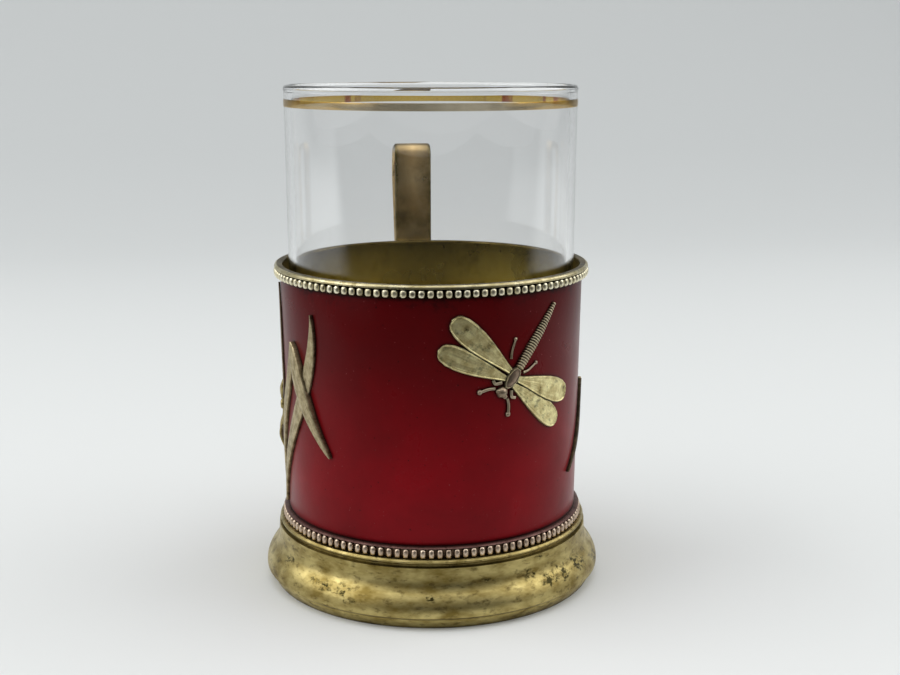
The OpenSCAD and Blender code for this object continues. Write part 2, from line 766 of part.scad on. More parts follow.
// Sets its children on the wall at a place on the unrolled wall, +Z outwards
module at_wall(place) {
    rotate([0, 0, wall_degrees(place.x)])
        translate([0, -wall_at(place.y) - solder_gap, place.y])
            rotate([90, 0, 0])
                children();
}

module dragonfly_legs() {
    color(bronze)
        for (side = [-1, 1]) {
            body_wire(hind_leg_shares, side);
            body_wire(middle_leg_shares, side);
        }
}

module dragonfly_feelers() {
    color(bronze)
        for (side = [-1, 1])
            body_wire(feeler_shares, side, knob_r);
}

module left_tall_leaf() {
    color(gilt)
        wall_leaf(left_tall_shares, leaf_w, leaf_width_shares, leaf_t);
}

// Bent leaf: it rises, folds over, and falls across the tall leaf
module left_bent_leaf() {
    room = 2 * solder_gap;
    color(gilt)
        difference() {
            union() {
                wall_leaf(left_rise_shares, leaf_w, leaf_width_shares, leaf_t);
                wall_leaf(left_fall_shares, left_fold_w, fall_width_shares, 2 * leaf_t);
            }
            wall_leaf(left_tall_shares, leaf_w, leaf_width_shares, leaf_t + solder_gap, -over, room);
        }
}

// Slim leaf: it starts behind the bent leaf's fold
module left_slim_leaf() {
    room = 2 * solder_gap;
    color(bronze)
        difference() {
            wall_leaf(left_slim_shares, slim_leaf_w, leaf_width_shares, slim_leaf_t);
            wall_leaf(left_rise_shares, leaf_w, leaf_width_shares, leaf_t + over, -over, room);
            wall_leaf(left_fall_shares, left_fold_w, fall_width_shares, 2 * leaf_t + over, -over, room);
        }
}

module left_back_leaf() {
    color(gilt)
        wall_leaf(left_back_shares, leaf_w, leaf_width_shares, leaf_t);
}

module right_bent_leaf() {
    color(gilt)
        union() {
            wall_leaf(right_rise_shares, leaf_w, leaf_width_shares, leaf_t);
            wall_leaf(right_fall_shares, right_fold_w, fall_width_shares, leaf_t);
        }
}

module right_tall_leaf() {
    color(gilt)
        wall_leaf(right_tall_shares, leaf_w, leaf_width_shares, leaf_t);
}

module right_back_leaf() {
    color(gilt)
        wall_leaf(right_back_shares, leaf_w, leaf_width_shares, leaf_t);
}

module left_iris_stem() {
    color(bronze)
        difference() {
            wall_stem(left_stem_shares, left_iris_z);
            flower_room(left_iris_angle, left_iris_z);
        }
}

module right_iris_stem() {
    color(bronze)
        difference() {
            wall_stem(right_stem_shares, right_iris_z);
            flower_room(right_iris_angle, right_iris_z);
        }
}

// An arched petal: an outline pushed through a bow that springs from the wall
module arched_petal(angle, heart_z, turn, length, width, rise) {
    bow_r = length * length / 8 / rise + rise / 2;
    rotate([0, 0, angle])
        translate([0, -wall_at(heart_z), heart_z])
            rotate([0, turn, 0])
                intersection() {
                    rotate([90, 0, 0])
                        linear_extrude(height = rise + petal_t + over)
                            polygon([for (s = petal_outline_shares) [s[1] * width, s[0] * length]]);
                    rotate([90, 0, 90])
                        linear_extrude(height = width + over, center = true)
                            difference() {
                                translate([bow_r - rise, length / 2])
                                    circle(r = bow_r);
                                translate([bow_r - rise, length / 2])
                                    circle(r = bow_r - petal_t);
                            }
                }
}

// Iris petals: two flat ones to the sides and two upright ones, in one casting
module iris_petals(angle, heart_z) {
    place = [wall_length(angle), heart_z];
    color(gilt)
        difference() {
            union() {
                for (turn = side_petal_turns)
                    wall_plate(petal_outline(place, petal_len, petal_w, turn), angle, -over, petal_t);
                for (turn = standard_turns)
                    arched_petal(angle, heart_z, 90 - turn, petal_len, petal_w, standard_rise);
                at_wall(place)
                    cylinder(r = heart_r, h = standard_rise + petal_t / 2);
            }
            wall_core();
        }
}

// Hanging petal: it arches out from under the heart and meets the wall again below
module iris_hanging_petal(angle, heart_z) {
    color(gilt)
        difference() {
            arched_petal(angle, heart_z - heart_r - solder_gap, 180, fall_len, fall_w, fall_rise);
            wall_core();
        }
}

module left_iris_petals() {
    iris_petals(left_iris_angle, left_iris_z);
}

module right_iris_petals() {
    iris_petals(right_iris_angle, right_iris_z);
}

module left_iris_hanging_petal() {
    iris_hanging_petal(left_iris_angle, left_iris_z);
}

module right_iris_hanging_petal() {
    iris_hanging_petal(right_iris_angle, right_iris_z);
}

// Outer radius of the glass at a height above its own underside
function glass_r_at(h) =
    let (straight_h = glass_h - glass_t / 2 - glass_corner_r)
    glass_foot_r + glass_taper_w * (h - glass_corner_r) / straight_h;

// Glass: a straight beaker with a thick base and a fire-polished lip
module glass() {
    lip_r = glass_t / 2;
    steps = 6;
    inner_foot_r = glass_r_at(glass_base_t) - glass_t;
    dish_r = glass_foot_r - glass_corner_r - glass_stand_w;
    color("lightcyan", 0.35)
        translate([0, 0, glass_z])
            rotate_extrude()
                polygon(concat(
                    [[0, glass_dish], [dish_r - glass_dish, glass_dish], [dish_r, 0]],
                    [for (i = [0:steps])
                        let (a = 90 * i / steps - 90)
                        [glass_foot_r - glass_corner_r + glass_corner_r * cos(a),
                         glass_corner_r + glass_corner_r * sin(a)]],
                    [for (i = [0:steps])
                        let (a = 180 * i / steps)
                        [glass_lip_r - lip_r + lip_r * cos(a), glass_h - lip_r + lip_r * sin(a)]],
                    [for (i = [0:steps])
                        let (a = -90 * i / steps)
                        [inner_foot_r - glass_inner_r + glass_inner_r * cos(a),
                         glass_base_t + glass_inner_r + glass_inner_r * sin(a)]],
                    [[0, glass_base_t]]));
}

// Gilt band, fired onto the glass below its lip
module gilt_band() {
    top = glass_h - band_drop;
    low = top - band_h;
    room = solder_gap / 2;
    color("#c9a63a")
        translate([0, 0, glass_z])
            rotate_extrude()
                polygon([
                    [glass_r_at(low) + room, low], [glass_r_at(low) + room + band_t, low],
                    [glass_r_at(top) + room + band_t, top], [glass_r_at(top) + room, top]
                ]);
}

sleeve();
enamel_coat();
rim_ring();
upper_beaded_wire();
lower_beaded_wire();
fillet_wire();
foot();
foot_hem();
floor_plate();
handle_strap();
handle_upper_pad();
handle_lower_pad();
dragonfly_thorax();
dragonfly_abdomen();
dragonfly_head();
dragonfly_eyes();
dragonfly_upper_left_wing();
dragonfly_lower_left_wing();
dragonfly_upper_right_wing();
dragonfly_lower_right_wing();
dragonfly_legs();
dragonfly_feelers();
left_tall_leaf();
left_bent_leaf();
left_slim_leaf();
left_back_leaf();
left_iris_stem();
left_iris_petals();
left_iris_hanging_petal();
right_bent_leaf();
right_tall_leaf();
right_back_leaf();
right_iris_stem();
right_iris_petals();
right_iris_hanging_petal();
glass();
gilt_band();
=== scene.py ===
from math import acos, copysign, cos, exp, pi, radians, sin, sqrt, tan

import bpy
import numpy as np
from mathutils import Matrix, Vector


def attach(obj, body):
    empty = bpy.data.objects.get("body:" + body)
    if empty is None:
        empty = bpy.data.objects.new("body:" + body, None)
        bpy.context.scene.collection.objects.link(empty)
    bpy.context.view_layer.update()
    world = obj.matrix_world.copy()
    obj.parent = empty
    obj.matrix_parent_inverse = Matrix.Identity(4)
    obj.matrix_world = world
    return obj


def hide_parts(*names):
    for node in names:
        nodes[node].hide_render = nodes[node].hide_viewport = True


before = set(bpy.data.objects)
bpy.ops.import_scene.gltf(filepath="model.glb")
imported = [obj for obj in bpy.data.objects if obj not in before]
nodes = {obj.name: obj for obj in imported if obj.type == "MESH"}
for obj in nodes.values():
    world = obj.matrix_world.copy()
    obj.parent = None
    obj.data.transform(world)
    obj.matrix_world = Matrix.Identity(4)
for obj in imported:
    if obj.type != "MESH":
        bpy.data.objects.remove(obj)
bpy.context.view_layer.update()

# Sleeve
# Thin brass tube that takes the glass, rolled and soldered. Only its inside and
# its upper edge show: old brass that has never been polished, dark olive.
MM = 0.001
WALL_R, BORE_R, SLEEVE_R, SLEEVE_LOW, SLEEVE_TOP = 35.4, 34.9, 35.2, 5.7, 75.4
TAPER, ENAMEL_LOW, ENAMEL_TOP = 0.9, 17.6, 73.0
TOP_SHADE_LOW, TOP_SHADE_TOP = 66, 75
AXIS_R = 0.002


def linear(hex_colour):
    """An sRGB hex colour as the linear values that a shader takes."""
    parts = [int(hex_colour[i:i + 2], 16) / 255 for i in (1, 3, 5)]
    return [p / 12.92 if p <= 0.04045 else ((p + 0.055) / 1.055) ** 2.4 for p in parts] + [1.0]


def add_node(material, kind, inputs=None, **settings):
    """One shader node with its settings; an input is a value, a hex colour, a socket, or a node to link."""
    made = material.node_tree.nodes.new("ShaderNode" + kind)
    for key, value in settings.items():
        setattr(made, key, value)
    for key, value in (inputs or {}).items():
        if isinstance(value, str):
            value = linear(value)
        elif isinstance(value, bpy.types.Node):
            value = value.outputs[0]
        if isinstance(value, bpy.types.NodeSocket):
            material.node_tree.links.new(value, made.inputs[key])
        else:
            made.inputs[key].default_value = value
    return made


def new_finish(name):
    """An empty node material."""
    material = bpy.data.materials.new(name)
    material.use_nodes = True
    material.node_tree.nodes.clear()
    return material


def shown(material, shader):
    """Makes a shader the material's surface."""
    add_node(material, "OutputMaterial", {"Surface": shader})
    return material


def spots(material, size_mm, low, high, detail=4.0, stretch=(1, 1, 1), distortion=0.0, shift=0.0):
    """A soft mask of patches about size_mm across, from 0 to 1, on the piece's own place."""
    place = add_node(material, "TexCoord").outputs["Object"]
    mapped = add_node(material, "Mapping", {"Vector": place, "Scale": stretch, "Location": (shift, shift, 0)})
    noise = add_node(material, "TexNoise", {
        "Vector": mapped, "Scale": 1 / (size_mm * MM), "Detail": detail, "Roughness": 0.6,
        "Distortion": distortion})
    return add_node(material, "MapRange", {"Value": noise, "From Min": low, "From Max": high})


def by_height(material, low, high, most=1.0, **settings):
    """A mask that is nothing up to the height low and grows to its most at the height high, in mm."""
    place = add_node(material, "TexCoord").outputs["Object"]
    height = add_node(material, "SeparateXYZ", {"Vector": place}).outputs["Z"]
    return add_node(material, "MapRange", {
        "Value": height, "From Min": low * MM, "From Max": high * MM, "To Max": most}, **settings)


def blended(material, share, first, second):
    """Colour between two colours, by a share."""
    return add_node(material, "Mix", {0: share, 6: first, 7: second}, data_type="RGBA").outputs[2]


def grimed_and_shaded(material, colour, reach_mm, low, high, most, grime_and_shade):
    """Lays grime and painted shade into the hollows that are narrower than about reach_mm, where ambient
    occlusion finds them.
    """
    hollow = add_node(material, "AmbientOcclusion", {"Distance": reach_mm * MM}, samples=6).outputs["AO"]
    deep = add_node(material, "MapRange", {
        "Value": hollow, "From Min": low, "From Max": high, "To Min": most, "To Max": 0.0})
    return blended(material, deep, colour, grime_and_shade)


def old_brass(name, bright, mid, dark, patch_mm, rough, recess_mm=0.8, recess=0.6, stained=False, grain=0.03,
              rubbed_and_lit=0.0, speck_share=0.5, painted_shade_at_top=False, streaks=(1, 1, 1), shaded=False):
    """Old brass: bright where hands rub it, brown where it tarnishes, near black in recesses from tarnish and
    painted shade.
    """
    material = new_finish(name)
    cloudy = spots(material, patch_mm, 0.34, 0.68, detail=3, stretch=streaks)
    colour = blended(material, cloudy, bright, mid)
    speck = spots(material, patch_mm * speck_share, 0.54, 0.76, stretch=streaks, shift=3.1)
    colour = blended(material, speck, colour, dark)
    if shaded:
        # Darker olive where the piece's attribute says: its edges, and a painted shadow band.
        shade = add_node(material, "Attribute", attribute_name="dark_edges_and_shadow_band").outputs["Fac"]
        soft = spots(material, 4, 0.2, 0.6, detail=2, shift=2.3)
        soft = add_node(material, "MapRange", {"Value": soft, "To Min": 0.5})
        shade = add_node(material, "Math", {0: shade, 1: soft}, operation="MULTIPLY")
        colour = blended(material, shade, colour, "#474122")
    if painted_shade_at_top:
        # Painted shade: darker olive towards the top of the sleeve's inside.
        top_shade = by_height(material, TOP_SHADE_LOW, TOP_SHADE_TOP, most=0.85)
        colour = blended(material, top_shade, colour, "#3b3318")
    # Tarnish and painted shade in the recesses.
    colour = grimed_and_shaded(material, colour, recess_mm, 0.35, 0.95, recess, "#15120a")
    if rubbed_and_lit:
        # Pale sharp edges: wear, and a painted highlight.
        edges = add_node(material, "NewGeometry").outputs["Pointiness"]
        worn = add_node(material, "MapRange", {
            "Value": edges, "From Min": 0.51, "From Max": 0.56, "To Max": rubbed_and_lit})
        colour = blended(material, worn, colour, "#efe6bd")
    if stained:
        stain = add_node(material, "Attribute", attribute_name="stain").outputs["Fac"]
        torn = spots(material, 1.3, 0.42, 0.66, detail=7, stretch=(1, 1, 1.6))
        torn = add_node(material, "Math", {0: stain, 1: torn}, operation="MULTIPLY")
        torn = add_node(material, "MapRange", {"Value": torn, "From Min": 0.12, "From Max": 0.45})
        colour = blended(material, torn, colour, "#3d371d")
    roughness = add_node(material, "MapRange", {
        "Value": cloudy, "To Min": rough - 0.04, "To Max": rough + 0.08})
    # Fine marks round the piece, as turning and wiping leave them: 0.6 mm long and 0.1 mm high.
    scratch = spots(material, 0.6, 0.2, 0.8, detail=2, stretch=(1, 1, 7))
    bump = add_node(material, "Bump", {"Height": scratch, "Distance": grain * MM, "Strength": 0.6})
    metal = add_node(material, "BsdfPrincipled", {
        "Base Color": colour, "Metallic": 1.0, "Roughness": roughness, "Normal": bump})
    return shown(material, metal)


def begun(name, primitive, **sizes):
    """Adds a primitive at its size and place, selected alone and named."""
    bpy.ops.object.select_all(action="DESELECT")
    primitive(**sizes)
    piece = bpy.context.object
    piece.name = piece.data.name = name
    return piece


def tidy_up(piece, angle=35):
    """Merges seams, turns the faces outwards, smooths the faces and puts the piece's place in its mesh."""
    bpy.ops.object.mode_set(mode="EDIT")
    bpy.ops.mesh.select_all(action="SELECT")
    bpy.ops.mesh.remove_doubles(threshold=0.006 * MM)
    bpy.ops.mesh.normals_make_consistent(inside=False)
    bpy.ops.object.mode_set(mode="OBJECT")
    bpy.ops.object.transform_apply(location=True, rotation=True, scale=True)
    bpy.ops.object.shade_smooth_by_angle(angle=radians(angle))
    return piece


def turned_form(name, profile, sides=192, angle=35):
    """A form turned on the lathe: a ring drawn out along its profile of radius and height, in mm."""
    radius, height = max(profile[0][0], AXIS_R), profile[0][1]
    piece = begun(name, bpy.ops.mesh.primitive_circle_add, vertices=sides, radius=radius * MM,
                  location=(0, 0, height * MM))
    bpy.ops.object.mode_set(mode="EDIT")
    bpy.ops.mesh.select_all(action="SELECT")
    for next_radius, next_height in profile[1:]:
        next_radius = max(next_radius, AXIS_R)
        bpy.ops.mesh.extrude_edges_move(
            TRANSFORM_OT_translate={"value": (0, 0, (next_height - height) * MM)})
        share = next_radius / radius
        bpy.ops.transform.resize(value=(share, share, 1), center_override=(0, 0, next_height * MM))
        radius, height = next_radius, next_height
    bpy.ops.object.mode_set(mode="OBJECT")
    return tidy_up(piece, angle)


def dressed(piece, finish, body, node):
    """Gives a piece its finish, its body and the node that it stands for."""
    piece.data.materials.clear()
    piece.data.materials.append(finish)
    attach(piece, body)
    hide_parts(node)


# Dull brass, brushed by the glass: a soft sheen, painted darker olive towards the top as shade.
inner_brass = old_brass("unpolished_brass", "#e3c868", "#c2a444", "#7d6720", 14, 0.3, recess=0.2,
                        speck_share=0.8, painted_shade_at_top=True)
sleeve = turned_form("brass_sleeve", [
    (BORE_R - TAPER, SLEEVE_LOW), (BORE_R - TAPER, ENAMEL_LOW), (BORE_R, ENAMEL_TOP), (BORE_R, SLEEVE_TOP),
    (SLEEVE_R, SLEEVE_TOP), (SLEEVE_R, ENAMEL_TOP), (SLEEVE_R - TAPER, ENAMEL_LOW),
    (SLEEVE_R - TAPER, SLEEVE_LOW), (BORE_R - TAPER, SLEEVE_LOW)])
dressed(sleeve, inner_brass, "holder", "sleeve")

# Enamel coat
# Dark red enamel over the whole outside of the sleeve, brushed on and fired or
# lacquered: deep colour, soft gloss, pits, dust, clouds, painted shade above and round the ornaments.
SEAT_R = 35.24
SEAT_LOW_R = SEAT_R - TAPER
EDGE_IN, EDGE_UP = 0.06, 0.15


def wall_at(height):
    """Radius of the enamelled wall at a height, in mm: the sleeve narrows towards its foot."""
    return WALL_R - TAPER * (ENAMEL_TOP - height) / (ENAMEL_TOP - ENAMEL_LOW)


def red_enamel():
    """Old red enamel: crimson low down, painted darker upwards as shade to near black above, with the dull
    bloom that age leaves.
    """
    material = new_finish("dark_red_enamel")
    cloud = spots(material, 16, 0.3, 0.75, detail=5, distortion=0.4)
    # Painted shade: the enamel darkens from crimson low down to near black above.
    painted_shade_upwards = by_height(material, 25, 68, most=0.85, interpolation_type="SMOOTHSTEP")
    colour = blended(material, painted_shade_upwards, "#800410", "#430203")
    thin = add_node(material, "Math", {0: cloud, 1: 0.45}, operation="MULTIPLY")
    colour = blended(material, thin, colour, "#3a0204")
    pits = spots(material, 0.8, 0.7, 0.76, detail=2)
    colour = blended(material, pits, colour, "#1e0304")
    dust = spots(material, 0.5, 0.755, 0.79, detail=1, shift=1.7)
    colour = blended(material, dust, colour, "#7a3a3c")
    # Dirt and painted shadow round the soldered ornaments: a dark outline on the enamel.
    colour = grimed_and_shaded(material, colour, 0.9, 0.5, 0.94, 0.97, "#120405")
    # Dark patches in a band just under the upper beads.
    under_bead_patches = spots(material, 3.2, 0.5, 0.66, detail=5, shift=5.3)
    near_beads = by_height(material, 69.5, 72.8)
    under_bead_patches = add_node(material, "Math", {0: under_bead_patches, 1: near_beads}, operation="MULTIPLY")
    colour = blended(material, under_bead_patches, colour, "#150607")
    rough = add_node(material, "MapRange", {"Value": cloud, "To Min": 0.26, "To Max": 0.36})
    skin = spots(material, 1.6, 0.2, 0.8)
    bump = add_node(material, "Bump", {"Height": skin, "Distance": 0.02 * MM, "Strength": 0.5})
    coat = add_node(material, "BsdfPrincipled", {
        "Base Color": colour, "Roughness": rough, "IOR": 1.5, "Specular IOR Level": 0.1,
        "Sheen Weight": 0.22, "Sheen Roughness": 0.3, "Sheen Tint": "#d8cfcc", "Normal": bump})
    return shown(material, coat)


enamel = turned_form("enamel_skin", [
    (SEAT_LOW_R, ENAMEL_LOW), (WALL_R - TAPER - EDGE_IN, ENAMEL_LOW)]
    + [(wall_at(height), height) for height in (ENAMEL_LOW + EDGE_UP, 30, 45, 60, ENAMEL_TOP - EDGE_UP)]
    + [(WALL_R - EDGE_IN, ENAMEL_TOP), (SEAT_R, ENAMEL_TOP), (SEAT_LOW_R, ENAMEL_LOW)], sides=240)
dressed(enamel, red_enamel(), "holder", "enamel_coat")

# Rim ring
# Half-round gilt brass edging, drawn as wire, bent to a ring and soldered over
# the top of the sleeve. Its outer curve is painted bright as a highlight, its inner curve dark as shade.
RIM_LOW, RIM_TOP, RIM_R, RIM_ROUND, LIP_ROUND, HIGHLIGHT_W = 75.0, 75.9, 36.8, 0.7, 0.4, 0.5


def arc(centre, radius, start, end, steps=6):
    """Points of an arc in the profile plane, in degrees from start to end."""
    return [(centre[0] + radius * cos(radians(start + (end - start) * i / steps)),
             centre[1] + radius * sin(radians(start + (end - start) * i / steps)))
            for i in range(steps + 1)]


# Pale gilt brass on the outer curve, painted brighter as its highlight: a bright, slightly cloudy line.
lit_outer_rim_brass = old_brass("gilt_brass_painted_highlight", "#cfc5a0", "#ab9e70", "#776a40", 3, 0.3, recess=0.75)
# Painted shade on the inner curve: it makes the edge's dark inner line.
shaded_inner_rim_brass = old_brass("painted_shade_inner_rim_brass", "#6f6038", "#423618", "#1c1608", 7, 0.4, recess=0.4)
rim = turned_form("rim_edging", [
    (BORE_R, SLEEVE_TOP), (BORE_R, RIM_TOP - LIP_ROUND)]
    + arc((BORE_R + LIP_ROUND, RIM_TOP - LIP_ROUND), LIP_ROUND, 180, 90)
    + arc((RIM_R - RIM_ROUND, RIM_TOP - RIM_ROUND), RIM_ROUND, 90, -10, 8)
    + [(RIM_R - 0.12, RIM_LOW), (SEAT_R, RIM_LOW), (SEAT_R, SLEEVE_TOP), (BORE_R, SLEEVE_TOP)], sides=256)
dressed(rim, lit_outer_rim_brass, "holder", "rim_ring")
rim.data.materials.append(shaded_inner_rim_brass)
# Faces on the outer curve take the painted highlight, faces nearer the bore the painted shade.
for face in rim.data.polygons:
    face.material_index = int(face.center.xy.length < (RIM_R - HIGHLIGHT_W) * MM)

# Beaded wires
# Two wires pressed into rows of upright beads on a thin strip, bent round the
# wall and soldered: pale rubbed beads with black tarnish packed between them.
BEADS, BEAD_OUT, STRIP_OUT, BEAD_DEEP, BALL_R, SQUARENESS = 118, 0.3, 0.6, 1.3, 0.5, 0.72


def beaded_wire(name, ring_r, bead_z, width, height, strip, ground, finish, node, ledge=None):
    """A tarnished strip turned to its profile, with one bead spun round into a full row."""
    row = begun(name + "_beads", bpy.ops.mesh.primitive_uv_sphere_add, segments=10, ring_count=8,
                radius=BALL_R * MM)
    for vertex in row.data.vertices:
        for axis in (0, 2):
            share = abs(vertex.co[axis]) / (BALL_R * MM)
            vertex.co[axis] = copysign(BALL_R * MM * share ** SQUARENESS, vertex.co[axis])
    row.scale = (width, BEAD_DEEP, height)
    half_step = pi / BEADS
    row.rotation_euler = (0, 0, half_step)
    row.location = (ring_r * MM * sin(half_step), -ring_r * MM * cos(half_step), bead_z * MM)
    bpy.ops.object.transform_apply(location=True, rotation=True, scale=True)
    bpy.ops.object.mode_set(mode="EDIT")
    bpy.ops.mesh.select_all(action="SELECT")
    bpy.ops.mesh.spin(steps=BEADS - 1, dupli=True, angle=2 * pi * (BEADS - 1) / BEADS,
                      center=(0, 0, 0), axis=(0, 0, 1))
    bpy.ops.object.mode_set(mode="OBJECT")
    bpy.ops.object.shade_smooth()
    row.data.materials.append(finish)
    rings = [row]
    if ledge:
        rings.append(turned_form(name + "_ledge", ledge, sides=236))
        rings[-1].data.materials.append(ledge_brass)
    wire = turned_form(name, strip, sides=236)
    dressed(wire, ground, "holder", node)
    for ring in rings + [wire]:
        ring.select_set(True)
    bpy.context.view_layer.objects.active = wire
    bpy.ops.object.join()


# Tarnish and polish left between the beads, never reached by a cloth: matt and near black.
black_tarnish = old_brass("black_tarnished_strip", "#4a3c28", "#33281b", "#1a140d", 1.5, 0.5, recess=0.9)
# Bead tops that hands and cloths keep bright: pale points with a hard dark edge.
bead_brass = old_brass("rubbed_bead_brass", "#fbf5da", "#e6dcb6", "#9a8c62", 4, 0.32, recess_mm=0.35,
                       recess=0.9)
# The lower beads are less rubbed, so they keep a copper tone.
warm_bead_brass = old_brass("copper_toned_bead_brass", "#e0cbb4", "#c4ac96", "#7c6855", 4, 0.3,
                            recess_mm=0.35, recess=0.8)
# Brown film between them, thinner than above: matt, with less contrast.
brown_tarnish = old_brass("brown_tarnished_strip", "#7a6452", "#5c483a", "#382b22", 1.5, 0.5, recess_mm=0.4,
                          recess=0.6)
# A reddish brown line of wax and dust lies on the ledge over the lower beads.
ledge_brass = old_brass("dirty_ledge_brass", "#7d5f58", "#5f4540", "#3a2823", 3, 0.45, recess_mm=0.5,
                        recess=0.9)
strip_r = WALL_R + STRIP_OUT
beaded_wire("upper_bead_row", strip_r + BEAD_OUT, 74.02, 1.5, 1.85, [
    (SEAT_R, ENAMEL_TOP), (strip_r, ENAMEL_TOP), (strip_r, RIM_LOW), (SEAT_R, RIM_LOW), (SEAT_R, ENAMEL_TOP)],
    black_tarnish, bead_brass, "upper_beaded_wire")
LEDGE_R, LEDGE_Z, LOWER_STRIP_Z = 35.7, 17.2, 15.0
strip_low_r = strip_r - TAPER
beaded_wire("lower_bead_row", strip_low_r + BEAD_OUT, 15.98, 1.36, 2.35, [
    (SEAT_LOW_R, LOWER_STRIP_Z), (strip_low_r, LOWER_STRIP_Z), (strip_low_r, LEDGE_Z), (SEAT_LOW_R, LEDGE_Z),
    (SEAT_LOW_R, LOWER_STRIP_Z)],
    brown_tarnish, warm_bead_brass, "lower_beaded_wire", ledge=[
        (SEAT_LOW_R, LEDGE_Z), (LEDGE_R - 0.1, LEDGE_Z), (LEDGE_R, LEDGE_Z + 0.06),
        (LEDGE_R - 0.3, ENAMEL_LOW - 0.12), (LEDGE_R - 0.6, ENAMEL_LOW), (SEAT_LOW_R, ENAMEL_LOW),
        (SEAT_LOW_R, LEDGE_Z)])

# Fillet wire
# A rounded band over a narrow groove, between the beads and the foot. It is
# soldered on and rubbed pale along its middle.
FOOT_H, GROOVE_R, FILLET_R, FILLET_Z, FILLET_ROUND = 13.3, 36.2, 36.5, 14.45, 0.3
fillet = turned_form("fillet_band", [
    (SEAT_LOW_R, FOOT_H), (GROOVE_R, FOOT_H), (GROOVE_R, FILLET_Z - 0.55), (FILLET_R - 0.05, FILLET_Z - 0.53)]
    + arc((FILLET_R, FILLET_Z), FILLET_ROUND, -60, 60, 6)
    + [(FILLET_R - 0.05, LOWER_STRIP_Z), (SEAT_LOW_R, LOWER_STRIP_Z), (SEAT_LOW_R, FOOT_H)], sides=240)
# Olive brass in shade, paler on its crown, with grime and painted shade darkening the groove below.
fillet_brass = old_brass("olive_fillet_brass", "#b3a26c", "#8b7b48", "#5a4b28", 3, 0.36, recess_mm=0.6,
                         recess=0.9)
dressed(fillet, fillet_brass, "holder", "fillet_wire")

# Foot and hem
# Hollow foot spun from brass sheet: a hollow curve over a full round one, closed
# below by a rolled hem. Yellow brass with brown clouds, stains and fine scratches.
FOOT_R, NECK_R, SHEET = 40.2, 37.0, 0.9
HEM_R, HEM_W, HEM_H = 39.45, 2.0, 2.35
# Height up the foot and how far it stands out from its neck, as shares.
FOOT_SHARES = [(1, 0), (0.9, 0.02), (0.8, 0.05), (0.73, 0.1), (0.67, 0.19), (0.61, 0.34), (0.56, 0.51),
               (0.5, 0.69), (0.44, 0.83), (0.38, 0.93), (0.32, 0.985), (0.26, 1.0), (0.22, 0.985)]
# Stains: degrees round from the front, height, half width, half height and strength.
STAIN_R = 39
STAINS = [(29, 9.2, 2.6, 1.5, 0.8), (36, 7.2, 2.6, 1.3, 1.0), (43, 7.4, 3.2, 1.8, 1.0),
          (54, 7.6, 3.6, 1.6, 1.0), (-46, 6.8, 3.0, 1.2, 0.9), (-38, 7.0, 2.6, 1.4, 0.8),
          (-51, 7.4, 1.6, 1.0, 0.7), (-35, 5.2, 2.6, 0.7, 0.7), (-8, 7.1, 1.0, 0.8, 1.2),
          (12, 9.9, 2.4, 0.6, 0.8), (33, 12.8, 1.6, 0.5, 1.0), (-68, 8.4, 2.6, 1.4, 0.7),
          (70, 5.4, 3.0, 1.2, 0.9), (88, 6.5, 3.0, 1.6, 0.7), (130, 9.0, 4.0, 1.8, 0.8),
          (168, 7.0, 3.5, 1.4, 0.7), (-150, 8.0, 4.2, 1.5, 0.8), (-112, 10.0, 3.2, 1.1, 0.8)]


def places(piece):
    """The places of a piece's vertices, in mm."""
    co = np.empty(len(piece.data.vertices) * 3)
    piece.data.vertices.foreach_get("co", co)
    return co.reshape(-1, 3) / MM


def marked(piece, label, values):
    """Gives each vertex a value that a finish reads by its label."""
    made = piece.data.attributes.new(label, "FLOAT", "POINT")
    made.data.foreach_set("value", np.array(values, np.float32))


def smoothed(points, steps):
    """A rounder run through the points of a profile."""
    p = np.array([points[0]] + list(points) + [points[-1]], float)
    out = []
    for i in range(1, len(p) - 2):
        for t in np.arange(steps) / steps:
            out.append(0.5 * (2 * p[i] + (p[i + 1] - p[i - 1]) * t
                              + (2 * p[i - 1] - 5 * p[i] + 4 * p[i + 1] - p[i + 2]) * t ** 2
                              + (3 * p[i] - p[i - 1] - 3 * p[i + 1] + p[i + 2]) * t ** 3))
    return [tuple(q) for q in out] + [tuple(p[-1])]


foot_outside = smoothed([(NECK_R + (FOOT_R - NECK_R) * s, FOOT_H * h) for h, s in FOOT_SHARES], 4)
foot_inside = [(r - SHEET, min(h, FOOT_H - SHEET)) for r, h in reversed(foot_outside)]
foot = turned_form("spun_foot", [(SEAT_LOW_R, FOOT_H), (NECK_R - 0.4, FOOT_H)] + foot_outside
                   + [(HEM_R, HEM_H), (HEM_R - SHEET, HEM_H)] + foot_inside
                   + [(SEAT_LOW_R, FOOT_H - SHEET), (SEAT_LOW_R, FOOT_H)], sides=320)
co = places(foot)
turn = np.degrees(np.arctan2(co[:, 0], -co[:, 1]))
amount = np.zeros(len(co))
for degrees, height, across, up, strength in STAINS:
    round_mm = ((turn - degrees + 180) % 360 - 180) * pi / 180 * STAIN_R
    spread = np.exp(-(round_mm / across) ** 2 - ((co[:, 2] - height) / up) ** 2)
    amount = np.maximum(amount, strength * spread)
marked(foot, "stain", amount)
# Spun yellow brass: a warm sheen with brown clouds and torn dark stains where it was wet.
foot_brass = old_brass("spun_foot_brass", "#c6b578", "#86733c", "#4f4020", 6, 0.36, stained=True,
                       speck_share=0.4, streaks=(1, 1, 2.2))
dressed(foot, foot_brass, "holder", "foot")

hem = turned_form("rolled_hem", [(HEM_R - HEM_W, 0)]
                  + [(HEM_R - draw, height) for draw, height in (
                      (1.2, 0), (1.0, 0.25), (0.85, 0.6), (0.55, 1.1), (0.3, 1.6), (0.2, 1.95), (0.2, HEM_H))]
                  + [(HEM_R - HEM_W, HEM_H), (HEM_R - HEM_W, 0)], sides=320)
dressed(hem, foot_brass, "holder", "foot_hem")

